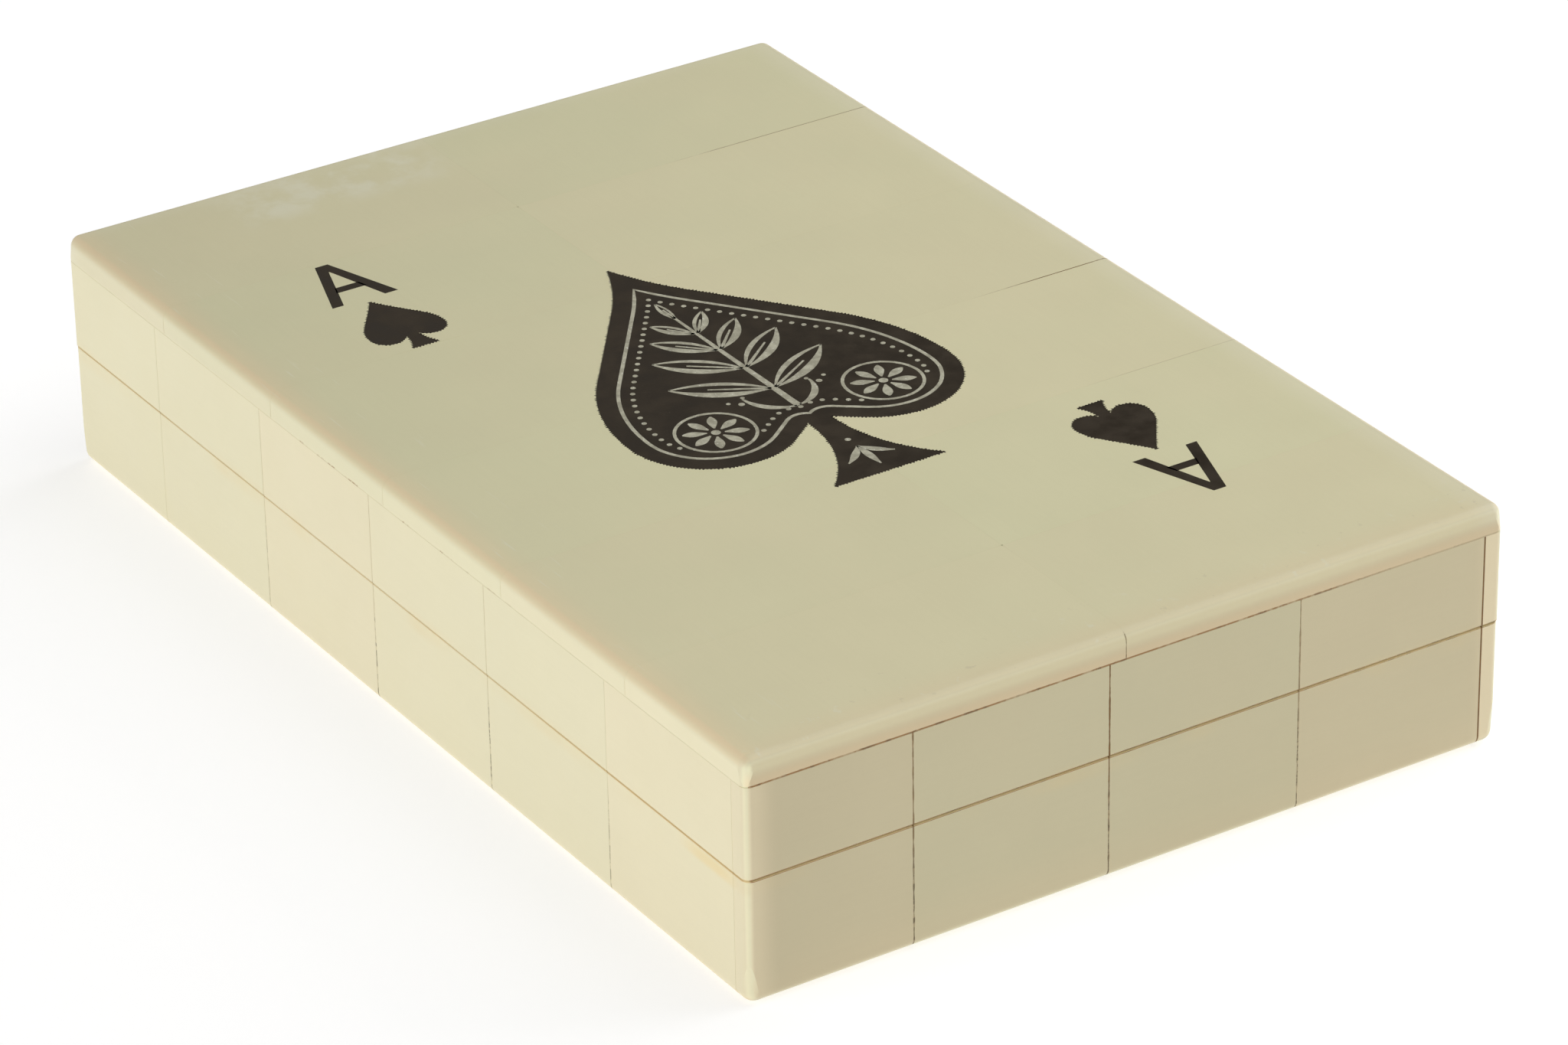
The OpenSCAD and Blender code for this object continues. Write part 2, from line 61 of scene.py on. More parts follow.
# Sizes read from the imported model
SLAB_LOW, SLAB_HIGH = box_mm("lid_top_tiles")
LID_FOOT_LOW, LID_FOOT_HIGH = box_mm("lid_foot_tiles")
BASE_FOOT_LOW, BASE_FOOT_HIGH = box_mm("base_foot_tiles")
FILL_TOP = box_mm("centre_spade_fill")[1].z
LID_HALF_W = SLAB_HIGH.x
LID_HALF_L = SLAB_HIGH.y
BASE_HALF_W = -box_mm("base_left_tiles")[0].x
BASE_HALF_L = -BASE_FOOT_LOW.y
LID_TILE_THICK = LID_FOOT_HIGH.y - LID_FOOT_LOW.y
BASE_TILE_THICK = BASE_FOOT_HIGH.y - BASE_FOOT_LOW.y
WOOD_HALF_W = LID_HALF_W - LID_TILE_THICK
WOOD_HALF_L = -LID_FOOT_HIGH.y
TOP_Z = SLAB_HIGH.z
SLAB_Z = SLAB_LOW.z
SIDE_TOP_Z = LID_FOOT_HIGH.z
LID_RIM = LID_FOOT_LOW.z
BASE_RIM = BASE_FOOT_HIGH.z
BASE_LOW_Z = BASE_FOOT_LOW.z
SEAM_Z = (LID_RIM + BASE_RIM) / 2
SLAB_JOINT_Z = (SIDE_TOP_Z + SLAB_Z) / 2

# Sizes of the construction that no node's box gives
TOP_RADIUS = 1.5
FOOT_RADIUS = 1.4
SLAB_CORNER_RADIUS = 1.2
RIM_EASE = 0.1
GLUE_LINE = 0.16
SIDE_PITCH = 27.5
TOP_FIRST_ROW = 26.5
TOP_PITCH = 28.0
TOP_COLUMN_W = 52.6

# Angle about Z that turns what is drawn on the foot side to each side
SIDES = {"foot": 0, "left": -90, "head": -180, "right": -270}
ENDS = ("foot", "head")


class Finish:
    """A procedural material. Most methods add nodes and give an output socket. The last three feed the shader."""

    def __init__(self, name, roughness=0.5, specular=0.5, metallic=0.0):
        self.data = bpy.data.materials.new(name)
        self.data.use_nodes = True
        self.tree = self.data.node_tree
        self.shader = self.tree.nodes["Principled BSDF"]
        self.shader.inputs["Roughness"].default_value = roughness
        self.shader.inputs["Specular IOR Level"].default_value = specular
        self.shader.inputs["Metallic"].default_value = metallic
        coordinates = self.tree.nodes.new("ShaderNodeTexCoord")
        self.facing = coordinates.outputs["Normal"]
        self.place = self.vector("SCALE", coordinates.outputs["Object"], scale=1 / MM)
        self.x, self.y, self.z = self.split(self.place)

    def put(self, socket, value):
        """Links an output socket to an input, or sets the input to a plain value."""
        if isinstance(value, bpy.types.NodeSocket):
            self.tree.links.new(value, socket)
        elif isinstance(value, (tuple, list)) and len(value) == 3 and socket.type == "RGBA":
            socket.default_value = (*value, 1)
        else:
            socket.default_value = value

    def node(self, kind, **inputs):
        made = self.tree.nodes.new("ShaderNode" + kind)
        for name, value in inputs.items():
            self.put(made.inputs[name], value)
        return made.outputs[0]

    def math(self, operation, *values):
        made = self.tree.nodes.new("ShaderNodeMath")
        made.operation = operation
        for socket, value in zip(made.inputs, values):
            self.put(socket, value)
        return made.outputs[0]

    def chain(self, operation, total, *values):
        """An operation on two or more values, from the first to the last."""
        for value in values:
            total = self.math(operation, total, value)
        return total

    def add(self, *values):
        return self.chain("ADD", *values)

    def times(self, *values):
        return self.chain("MULTIPLY", *values)

    def minus(self, a, b):
        return self.math("SUBTRACT", a, b)

    def larger(self, a, b):
        return self.math("MAXIMUM", a, b)

    def smaller(self, a, b):
        return self.math("MINIMUM", a, b)

    def unsigned(self, value):
        return self.math("ABSOLUTE", value)

    def vector(self, operation, *values, scale=None, output="Vector"):
        made = self.tree.nodes.new("ShaderNodeVectorMath")
        made.operation = operation
        for socket, value in zip(made.inputs, values):
            self.put(socket, value)
        if scale is not None:
            self.put(made.inputs["Scale"], scale)
        return made.outputs[output]

    def dot(self, a, b):
        return self.vector("DOT_PRODUCT", a, b, output="Value")

    def split(self, vector):
        made = self.tree.nodes.new("ShaderNodeSeparateXYZ")
        self.put(made.inputs[0], vector)
        return made.outputs[0], made.outputs[1], made.outputs[2]

    def along(self, direction):
        """Distance along a direction from the middle of the case."""
        return self.dot(self.place, direction)

    def noise(self, size, detail=3.0, roughness=0.5, stretch=(1, 1, 1), shift=0.0, distortion=0.0):
        """Smooth noise about 0.5, with features of a size in millimetres, longer along a stretched axis."""
        spread = tuple(1 / (size * s) for s in stretch)
        at = self.vector("MULTIPLY_ADD", self.place, spread, (shift, shift, shift))
        return self.node("TexNoise", Vector=at, Scale=1.0, Detail=detail, Roughness=roughness,
                         Distortion=distortion)

    def step(self, value, low, high, out_low=0.0, out_high=1.0):
        """Smooth step from one level to another, as a value goes from low to high."""
        made = self.tree.nodes.new("ShaderNodeMapRange")
        made.interpolation_type = "SMOOTHSTEP"
        for socket, given in zip(made.inputs, (value, low, high, out_low, out_high)):
            self.put(socket, given)
        return made.outputs[0]

    def fall(self, value, low, high):
        """1 up to low, and falling smoothly to 0 at high."""
        return self.step(value, low, high, 1.0, 0.0)

    def band(self, value, middle, half, soft):
        """1 within half of the middle, and falling to 0 over a soft width."""
        return self.fall(self.unsigned(self.minus(value, middle)), half, half + soft)

    def mix(self, share, a, b, blend="MIX"):
        made = self.tree.nodes.new("ShaderNodeMix")
        made.data_type = "RGBA"
        made.blend_type = blend
        for index, value in ((0, share), (6, a), (7, b)):
            self.put(made.inputs[index], value)
        return made.outputs[2]

    def scaled(self, colour, factor):
        return self.vector("SCALE", colour, scale=factor)

    def random(self, value):
        """A random number from 0 to 1, the same wherever the value is the same."""
        made = self.tree.nodes.new("ShaderNodeTexWhiteNoise")
        made.noise_dimensions = "1D"
        self.put(made.inputs["W"], value)
        return made.outputs["Value"]

    def turned_to(self, direction, low=0.5, high=0.85):
        """1 where the surface faces a direction, 0 where it is turned well away from it."""
        return self.step(self.dot(self.facing, direction), low, high)

    def facing_end(self):
        """1 where the surface faces squarely to the foot or the head."""
        return self.larger(self.turned_to((0, -1, 0), 0.8, 0.98), self.turned_to((0, 1, 0), 0.8, 0.98))

    def bump(self, height, distance, strength):
        return self.node("Bump", Height=height, Distance=distance * MM, Strength=strength)

    def colour(self, value):
        self.put(self.shader.inputs["Base Color"], value)

    def roughness(self, value):
        self.put(self.shader.inputs["Roughness"], value)

    def normal(self, value):
        self.put(self.shader.inputs["Normal"], value)


BONE = (0.775, 0.742, 0.520)
BONE_GREEN = (0.755, 0.747, 0.518)
BONE_PINK = (0.806, 0.710, 0.493)
BONE_PALE = (0.840, 0.820, 0.660)
# Colour of the painted light where bone is lit through its edges
BONE_PAINTED_GLOW = (0.900, 0.775, 0.520)
INK = (0.0295, 0.0215, 0.0125)

# Painted shade: faces turned to the foot and head, and level faces, are made yellower than the long sides,
# and the ends darker. Painted light: rounded edges are made lighter. Shares of each colour.
UP_PAINTED_SHADE = (1.0, 0.968, 0.905)
END_PAINTED_SHADE = (0.857, 0.808, 0.750)
LONG_PAINTED_TONE = (1.00, 0.965, 0.945)
UPRIGHT_EDGE_PAINTED_LIGHT = (1.12, 1.12, 1.09)
SIDE_EDGE_PAINTED_LIGHT = (1.055, 0.965, 0.905)
FOOT_EDGE_PAINTED_LIGHT = (1.07, 1.03, 0.99)

# How much painted light each side's bone gets where it ends at an upright corner
EDGE_PAINTED_GLOW = {"foot": 0.55, "left": 0.0, "head": 0.4, "right": 0.9}

# Glue and dirt in the saw cut, under the slab, in the upright joints and on top
BELOW_SEAM_TINT = (0.78, 0.62, 0.33)
SEAM_YELLOW = (0.80, 0.65, 0.34)
SEAM_PALE = (0.64, 0.42, 0.13)
SEAM_BROWN = (0.25, 0.075, 0.016)
SEAM_DARK = (0.07, 0.04, 0.02)
SLAB_BROWN = (0.32, 0.14, 0.03)
SLAB_DARK = (0.08, 0.05, 0.025)
JOINT_BROWN = (0.26, 0.135, 0.04)
JOINT_PALE = (0.36, 0.24, 0.10)
JOINT_DARK = (0.07, 0.045, 0.02)
TOP_JOINT_BROWN = (0.22, 0.13, 0.05)
TOP_BLOTCH = (0.60, 0.53, 0.36)

INK_LIGHT = tuple(c * 1.5 for c in INK)
INK_WORN = (0.20, 0.17, 0.13)
ORNAMENT_DARK = (0.37, 0.35, 0.26)
ORNAMENT_LIGHT = (0.57, 0.55, 0.42)
ORNAMENT_SPECK = (0.85, 0.85, 0.78)
BRASS_BRIGHT = (0.64, 0.45, 0.17)
BRASS_DULL = (0.48, 0.31, 0.11)
FELT_DARK = (0.010, 0.045, 0.022)
FELT_LIGHT = (0.022, 0.085, 0.042)
FELT_HAIR = (0.06, 0.16, 0.085)
FELT_SHEEN = (0.45, 0.75, 0.5, 1)
WOOD_DARK = (0.19, 0.085, 0.034)
WOOD_LIGHT = (0.36, 0.18, 0.075)
WOOD_PORE = (0.07, 0.03, 0.014)

# How much the clouds, fibres and specks of the bone change its shade
CLOUDING = 0.055
FIBRING = 0.022
SPECKING = 0.014


def grain_along(direction, stretch):
    """Stretch that turns a noise into streaks along a direction."""
    return tuple(1 + stretch * abs(c) for c in direction)


def polished_bone(name):
    """A finish with the thin polish that all the bone has."""
    made = Finish(name, specular=0.25)
    made.shader.inputs["Coat Weight"].default_value = 0.04
    made.shader.inputs["Coat Roughness"].default_value = 0.12
    return made


def painted_light_and_shade(made, colour):
    """A bone colour with a painted shade tone that goes with the way the surface faces. Rounded edges get a
    little painted light.
    """
    x, y, z = (made.unsigned(part) for part in made.split(made.facing))
    tone = made.mix(made.step(y, 0.8, 0.98), LONG_PAINTED_TONE, END_PAINTED_SHADE)
    tone = made.mix(made.step(z, 0.5, 0.85), tone, UP_PAINTED_SHADE)
    # Painted light: rounded upright edges, and rounded edges between a long side and a level face, are lighter
    upright_edge_lit = made.times(made.step(made.times(x, y), 0.12, 0.45), made.step(y, 0.3, 0.65))
    tone = made.mix(upright_edge_lit, tone, UPRIGHT_EDGE_PAINTED_LIGHT)
    tone = made.mix(made.step(made.times(x, z), 0.12, 0.45), tone, SIDE_EDGE_PAINTED_LIGHT)
    return made.mix(1.0, colour, tone, "MULTIPLY")


def bone_surface(made, colour, grain):
    """Clouds, grain and fine wear over a base colour. Grain is the noise stretch along the bone."""
    clouds = made.noise(16, detail=4, roughness=0.55)
    fibres = made.noise(0.5, detail=2, stretch=grain, shift=3.1)
    specks = made.noise(0.9, detail=3, roughness=0.7, shift=7.7)
    shade = made.add(made.times(clouds, CLOUDING), made.times(fibres, FIBRING), made.times(specks, SPECKING),
                     1 - (CLOUDING + FIBRING + SPECKING) / 2)
    made.colour(made.scaled(colour, shade))
    rubs = made.noise(9, detail=5, roughness=0.65, shift=12.4)
    made.roughness(made.step(rubs, 0.3, 0.7, 0.32, 0.46))
    waves = made.noise(5, detail=2, shift=21.0)
    made.normal(made.bump(made.add(waves, made.times(fibres, 0.10)), 0.03, 0.35))


def side_bone(side, joint=False):
    """Bone of one side's tiles, base and lid alike, since one saw cut parted them. Or the glue in its joints."""
    made = polished_bone(("glue_" if joint else "bone_") + side)
    angle = math.radians(SIDES[side])
    direction = (math.cos(angle), math.sin(angle), 0)
    is_end = side in ENDS
    half, wood_half = (LID_HALF_W, WOOD_HALF_W) if is_end else (LID_HALF_L, WOOD_HALF_L)
    to_end = made.facing_end()
    run = made.along(direction)
    from_middle = made.unsigned(run)
    steps = made.math("DIVIDE", made.minus(wood_half, run), SIDE_PITCH)
    tile = made.math("FLOOR", steps)

    # A tint for each tile
    clouds = made.noise(22, detail=3, shift=31.0)
    tint = made.random(made.add(tile, 17.9 + len(side)))
    warmth = made.add(made.times(tint, 0.5), made.times(clouds, 0.5))
    colour = made.mix(made.step(warmth, 0.2, 0.8), BONE_GREEN, BONE_PINK)
    colour = made.mix(0.66 if is_end else 0.8, colour, BONE)

    # Painted warm light: pinker near the table and the upright corners, and on the ends a little lighter near the
    # table
    near_table = made.fall(made.add(made.z, made.times(clouds, 6)), 2.5, 11.0)
    near_corner = made.step(from_middle, half - 7, half - 1)
    painted_warm_light = made.times(made.larger(near_table, near_corner), made.add(0.03, made.times(to_end, 0.35)))
    colour = painted_light_and_shade(made, made.mix(painted_warm_light, colour, BONE_PINK))
    colour = made.scaled(colour, made.add(1.0, made.times(near_table, to_end, 0.035)))

    # A yellow tinge under the saw cut
    under_seam = made.times(made.band(made.z, SEAM_Z - 0.6, 0.4, 1.6),
                            made.step(made.noise(14, shift=5.0), 0.45, 0.75))
    colour = made.mix(made.times(under_seam, 0.35), colour, BELOW_SEAM_TINT)

    # A shade for each tile, the ends darker towards their left, and painted light at the upright corners
    chance = made.random(made.add(tile, 3.3 + len(side)))
    colour = made.scaled(colour, made.add(made.times(chance, 0.025 if is_end else 0.012), 0.985))
    if is_end:
        colour = made.scaled(colour, made.step(run, -half, 24 - half, 0.965, 1.0))
    edge_painted_glow = made.step(from_middle, half - 4.6, half - 0.6)
    colour = made.mix(made.times(edge_painted_glow, EDGE_PAINTED_GLOW[side], to_end), colour, BONE_PAINTED_GLOW)

    colour = seam_stain(made, colour, to_end)
    colour = slab_stain(made, colour, to_end)
    colour = joint_stain(made, colour, steps, is_end)
    bone_surface(made, colour, grain_along(direction, 24))
    return made.data


def seam_stain(made, colour, to_end):
    """Dirt along the saw cut: a soft pale line on the long sides, a dark one with darker dashes on the ends.
    Under it, the left side is stained yellow towards the foot."""
    yellow = made.times(made.band(made.z, SEAM_Z - 1.1, 0.3, 0.9), made.turned_to((-1, 0, 0)),
                        made.band(made.y, 8 - LID_HALF_L, 1.5, 6), 0.7)
    colour = made.mix(yellow, colour, SEAM_YELLOW)
    near_foot = made.fall(made.y, 15 - LID_HALF_L, 65 - LID_HALF_L)
    near_head = made.step(made.y, LID_HALF_L - 35, LID_HALF_L - 20, 0.15, 0.35)
    soft = made.times(made.band(made.z, SEAM_Z, 0.12, 0.16), made.add(near_head, made.times(near_foot, 0.5)))
    upright = made.step(made.unsigned(made.split(made.facing)[2]), 0.6, 0.9, 1.0, 0.3)
    colour = made.mix(made.times(soft, upright), colour, SEAM_PALE)
    dark = made.times(made.band(made.z, SEAM_Z, 0.16, 0.10), to_end)
    fading = made.step(made.x, 22, 38, 0.93, 0.38)
    colour = made.mix(made.times(dark, fading), colour, SEAM_BROWN)
    dashes = made.step(made.noise(2.4, detail=4, roughness=0.65, shift=15.0), 0.50, 0.60)
    return made.mix(made.times(dark, dashes, 0.8), colour, SEAM_DARK)


def slab_stain(made, colour, to_end):
    """Glue and dirt along the joint under the slab: a broken brown line with dark dashes on the ends, which
    fades towards the right, and a few faint dashes on the long sides."""
    line = made.band(made.z, SLAB_JOINT_Z, 0.09, 0.05)
    come_and_go = made.noise(2.8, detail=5, roughness=0.7)
    on_ends = made.times(to_end, made.step(come_and_go, 0.38, 0.54, 0.4, 1.0),
                         made.step(made.x, 22, 40, 0.85, 0.2))
    on_sides = made.times(made.step(come_and_go, 0.53, 0.63, 0.0, 0.6), made.band(made.y, 0, 8, 30))
    colour = made.mix(made.times(line, made.larger(on_ends, on_sides)), colour, SLAB_BROWN)
    dashes = made.step(made.noise(1.8, detail=4, roughness=0.65, shift=27.0), 0.52, 0.60)
    dashes = made.times(dashes, made.band(made.z, SLAB_JOINT_Z, 0.12, 0.05))
    return made.mix(made.times(dashes, on_ends, 0.55), colour, SLAB_DARK)


def joint_stain(made, colour, steps, is_end):
    """Glue in the upright joints. Steps count the joints and are whole numbers at their middles. It is brown
    in the lid and broken by darker dashes in the base, and hardly shows on the long sides."""
    number = made.math("ROUND", steps)
    at_corner = made.fall(number, 0.2, 0.8)
    across = made.times(made.minus(steps, number), SIDE_PITCH)
    across = made.unsigned(made.minus(across, made.times(at_corner, GLUE_LINE / 2)))
    width = made.step(made.noise(1.5, detail=3, shift=4.0), 0.3, 0.7, 0.06, 0.13)
    line = made.fall(made.minus(across, width), -0.02, 0.03)
    low = made.step(made.z, SEAM_Z - 1, SEAM_Z - 8)
    dashes = made.step(made.noise(0.9, detail=3, roughness=0.6, shift=9.0), 0.42, 0.55)
    if is_end:
        wave = made.math("SINE", made.add(made.times(number, 2.4), -3.6))
        strength = made.smaller(made.add(0.95, made.times(wave, 0.42)), 1.0)
        low = made.times(low, made.minus(1.0, at_corner))
        strength = made.times(strength, made.add(1.0, made.times(low, -0.4)))
        line = made.larger(line, made.times(made.fall(across, 0.14, 0.20), at_corner))
        colour = made.mix(made.times(line, strength), colour, JOINT_BROWN)
        share = made.times(dashes, made.add(0.2, made.times(low, 0.45)))
    else:
        strength = made.band(number, 2.3, 0.4, 2.2)
        in_lid = made.band(number, 3.0, 0.3, 1.8)
        faint = made.times(made.larger(in_lid, made.times(strength, low)), 0.2)
        colour = made.mix(made.times(line, faint), colour, JOINT_PALE)
        share = made.times(dashes, low, made.times(strength, 0.6))
    return made.mix(made.times(line, share), colour, JOINT_DARK)


def top_bone(joint=False):
    """Bone of the slab tiles on the lid, or the glue in their joints."""
    made = polished_bone("glue_top" if joint else "bone_top")
    upward = made.turned_to((0, 0, 1))
    to_foot = made.turned_to((0, -1, 0))
    footward = made.dot(made.facing, (0, -1, 0))
    rows = made.math("DIVIDE", made.minus(LID_HALF_L - TOP_FIRST_ROW, made.y), TOP_PITCH)
    column = made.math("GREATER_THAN", made.x, TOP_COLUMN_W - LID_HALF_W)
    tile = made.add(made.math("FLOOR", rows), made.times(column, 10.0))

    # A tint for each tile
    clouds = made.noise(26, detail=4, shift=2.0)
    tint = made.random(made.add(tile, 6.2))
    warmth = made.add(made.times(tint, 0.3), made.times(clouds, 0.7))
    colour = made.mix(made.step(warmth, 0.25, 0.75), BONE_GREEN, BONE)

    # Painted light: pink near the left and foot rims and low on the foot edge, pale near the right and head rims,
    # and lighter near the left edge
    rim_painted_light = made.larger(made.step(made.x, 6.0 - LID_HALF_W, 1.0 - LID_HALF_W),
                           made.step(made.y, 6.0 - LID_HALF_L, 1.0 - LID_HALF_L))
    colour = made.mix(made.times(rim_painted_light, made.add(0.1, made.times(upward, 0.35))), colour, BONE_PINK)
    far_rim_painted_light = made.larger(made.step(made.x, LID_HALF_W - 5.5, LID_HALF_W - 1.0),
                          made.step(made.y, LID_HALF_L - 4.0, LID_HALF_L - 1.0, 0.0, 0.6))
    colour = made.mix(made.times(far_rim_painted_light, 0.42), colour, BONE_PALE)
    low_band_painted_light = made.times(made.fall(made.z, SLAB_Z + 0.3, SLAB_Z + 2.2), to_foot)
    colour = made.mix(made.times(low_band_painted_light, 0.9), colour, BONE_PINK)
    left_edge_painted_glow = made.times(made.fall(made.x, 1.0 - LID_HALF_W, 4.0 - LID_HALF_W), upward)
    colour = painted_light_and_shade(made, made.mix(made.times(left_edge_painted_glow, 0.3), colour, BONE_PAINTED_GLOW))

    # Painted highlight on the rounded foot edge, with a little painted shade where it rolls over into the top,
    # and a painted lighter band low on it
    foot_edge_highlight = made.times(made.step(made.z, SLAB_Z + 0.8, TOP_Z - 0.7), made.step(footward, 0.72, 1.0))
    roll = made.band(footward, 0.35, 0.10, 0.25)
    foot_edge_light = made.add(made.times(foot_edge_highlight, 0.22), made.times(roll, -0.05))
    colour = made.scaled(colour, made.add(1.0, foot_edge_light))
    foot_band_painted_light = made.mix(1.0, colour, FOOT_EDGE_PAINTED_LIGHT, "MULTIPLY")
    colour = made.mix(made.times(low_band_painted_light, 0.8), colour, foot_band_painted_light)

    # Painted shade darker towards the left head corner, with a pale patch near the head rim
    painted_corner_shade = made.step(made.minus(made.x, made.y), -130, 20, 0.95, 1.03)
    colour = made.scaled(colour, painted_corner_shade)
    patch = made.times(made.band(made.x, -18, 10, 9), made.band(made.y, 76.5, 4, 5),
                       made.step(made.noise(7, detail=4, roughness=0.6, shift=9.0), 0.4, 0.62), 0.5)
    colour = made.mix(patch, colour, BONE_PALE)
    colour = top_wear(made, colour, upward)

    # A shade for each tile
    chance = made.random(made.add(tile, 42.7))
    colour = made.scaled(colour, made.add(made.times(chance, 0.02), 0.99))
    colour = slab_stain(made, colour, made.facing_end())
    if joint:
        colour = made.mix(top_joint_shown(made, rows), colour, TOP_JOINT_BROWN)
    bone_surface(made, colour, (1, 24, 1))
    return made.data


def top_wear(made, colour, upward):
    """Short pale scratches near the left edge, and small pale and dark blotches near the foot edge."""
    left = made.step(made.x, 16 - LID_HALF_W, 3 - LID_HALF_W)
    scratches = made.noise(0.7, detail=2, roughness=0.6, stretch=(1, 14, 1), shift=30.0)
    scratches = made.times(made.step(scratches, 0.66, 0.72), made.times(left, upward))
    colour = made.mix(made.times(scratches, 0.35), colour, BONE_PALE)
    at_foot = made.times(made.step(made.y, 13 - LID_HALF_L, 3 - LID_HALF_L), upward)
    blotches = made.noise(2.2, detail=3, roughness=0.65, shift=35.0)
    pale = made.times(made.step(blotches, 0.62, 0.72), at_foot)
    dark = made.times(made.step(blotches, 0.36, 0.30), at_foot)
    colour = made.mix(made.times(pale, 0.35), colour, BONE_PALE)
    return made.mix(made.times(dark, 0.3), colour, TOP_BLOTCH)


# Slab joints whose glue shows near the right edge: row, where it starts, where it is full, how much
OPEN_TOP_JOINTS = [(0, 20, 32, 0.55), (2, 31, 46, 1.0), (3, 28, 40, 0.2)]


def top_joint_shown(made, rows):
    """Where the glue between the slab tiles shows: some rows near the right edge, and the nick at the foot."""
    shown = made.times(made.turned_to((0, -1, 0)), made.band(made.x, TOP_COLUMN_W - LID_HALF_W, 0.3, 0.1),
                       made.step(made.noise(1.1, detail=4, shift=6.0), 0.3, 0.6, 0.25, 0.8))
    patchy = made.step(made.noise(4, detail=4, roughness=0.7), 0.25, 0.5)
    for row, start, full, share in OPEN_TOP_JOINTS:
        shown = made.larger(shown, made.times(made.band(rows, row, 0.1, 0.02),
                                              made.step(made.x, start, full, 0.0, share), patchy))
    return made.smaller(made.add(0.02, made.times(shown, 1.15)), 1.0)


def black_filling():
    """Filling of the black figures, with a few worn pores."""
    made = Finish("black_filling", specular=0.3)
    blotches = made.noise(3.5, detail=4, roughness=0.6)
    pores = made.noise(0.25, detail=2, shift=4.0)
    colour = made.mix(made.step(blotches, 0.3, 0.75), INK, INK_LIGHT)
    worn = made.step(pores, 0.68, 0.8)
    made.colour(made.mix(made.times(worn, 0.25), colour, INK_WORN))
    made.roughness(made.step(blotches, 0.3, 0.7, 0.34, 0.52))
    made.normal(made.bump(pores, 0.02, 0.4))
    return made.data


def ornament_bone():
    """Greyed bone of the fine ornament."""
    made = Finish("ornament_bone")
    grey = made.noise(1.2, detail=3, roughness=0.6)
    speck = made.step(made.noise(0.35, detail=1, shift=8.0), 0.66, 0.74)
    colour = made.mix(made.step(grey, 0.3, 0.7), ORNAMENT_DARK, ORNAMENT_LIGHT)
    made.colour(made.mix(made.times(speck, 0.6), colour, ORNAMENT_SPECK))
    return made.data


def wood(name, direction, tone=1.0):
    """Oiled brown wood with its grain along a direction. The tone makes all its colours lighter or darker."""
    made = Finish(name)
    dark, light, pore = (tuple(c * tone for c in colour) for colour in (WOOD_DARK, WOOD_LIGHT, WOOD_PORE))
    rings = made.noise(2.2, detail=5, roughness=0.6, stretch=grain_along(direction, 30), distortion=0.4)
    pores = made.noise(0.35, detail=2, roughness=0.6, stretch=grain_along(direction, 14), shift=6.0)
    colour = made.mix(made.step(rings, 0.3, 0.7), dark, light)
    made.colour(made.mix(made.step(pores, 0.6, 0.75, 0.0, 0.6), colour, pore))
    made.roughness(made.step(rings, 0.3, 0.7, 0.48, 0.62))
    height = made.add(made.times(rings, 0.4), made.times(pores, -0.8))
    made.normal(made.bump(height, 0.06, 0.5))
    return made.data


def brass():
    """Slightly tarnished brass of the hinges."""
    made = Finish("hinge_brass", metallic=0.8)
    tarnish = made.noise(6.0, detail=2)
    scratches = made.noise(0.2, detail=1, stretch=(1, 30, 1), shift=2.0)
    made.colour(made.mix(made.step(tarnish, 0.3, 0.8), BRASS_BRIGHT, BRASS_DULL))
    made.roughness(made.add(made.step(tarnish, 0.3, 0.75, 0.32, 0.42), made.times(scratches, 0.06)))
    return made.data


def felt():
    """Matted green felt."""
    made = Finish("green_felt", roughness=0.95, specular=0.2)
    shader = made.shader.inputs
    shader["Sheen Weight"].default_value = 0.35
    shader["Sheen Roughness"].default_value = 0.5
    shader["Sheen Tint"].default_value = FELT_SHEEN
    matted = made.noise(1.1, detail=5, roughness=0.7, distortion=1.2)
    hairs = made.noise(0.18, detail=3, roughness=0.7, distortion=2.5, shift=3.0)
    patches = made.noise(20, detail=2, shift=11.0)
    colour = made.mix(made.step(matted, 0.3, 0.7), FELT_DARK, FELT_LIGHT)
    colour = made.mix(made.step(hairs, 0.58, 0.72, 0.0, 0.55), colour, FELT_HAIR)
    made.colour(made.scaled(colour, made.add(made.times(patches, 0.3), 0.85)))
    made.normal(made.bump(made.add(made.times(matted, 0.6), made.times(hairs, 0.5)), 0.22, 0.8))
    return made.data


BONE_FINISH = {side: side_bone(side) for side in SIDES}
TOP_FINISH = top_bone()
FILLING = black_filling()
ORNAMENT = ornament_bone()
BRASS = brass()
FELT = felt()
ALONG_X = wood("wood_along_x", (1, 0, 0))
ALONG_Y = wood("wood_along_y", (0, 1, 0))
BOARD = wood("wood_board", (0, 1, 0), 0.85)
DIVIDER = wood("wood_divider", (1, 0, 0), 1.15)
GLUE_FINISH = {side: side_bone(side, joint=True) for side in SIDES}


def finish_nodes():
    """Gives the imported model's own pieces their finishes."""
    def paint(node, material):
        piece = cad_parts[node]
        piece.data.materials.clear()
        piece.data.materials.append(material)

    for part in (BASE, LID):
        for side in SIDES:
            paint(f"{part}_{side}_tiles", BONE_FINISH[side])
            paint(f"{part}_{side}_wall", ALONG_X if side in ENDS else ALONG_Y)
    paint("lid_top_tiles", TOP_FINISH)
    paint("deck_divider", DIVIDER)
    for board in ("base_bottom_board", "lid_top_board"):
        paint(board, BOARD)
    for figure in ("centre_spade_fill", "corner_pip_fills"):
        paint(figure, FILLING)
    leaves_and_pins = [f"{end}_{piece}" for end in ENDS for piece in ("base_leaf", "lid_leaf", "pin")]
    for piece in leaves_and_pins + ["base_screws", "lid_screws"]:
        paint("hinge_" + piece, BRASS)


def add_object(name, data):
    """A new object in the scene."""
    made = bpy.data.objects.new(name, data)
    bpy.context.scene.collection.objects.link(made)
    return made


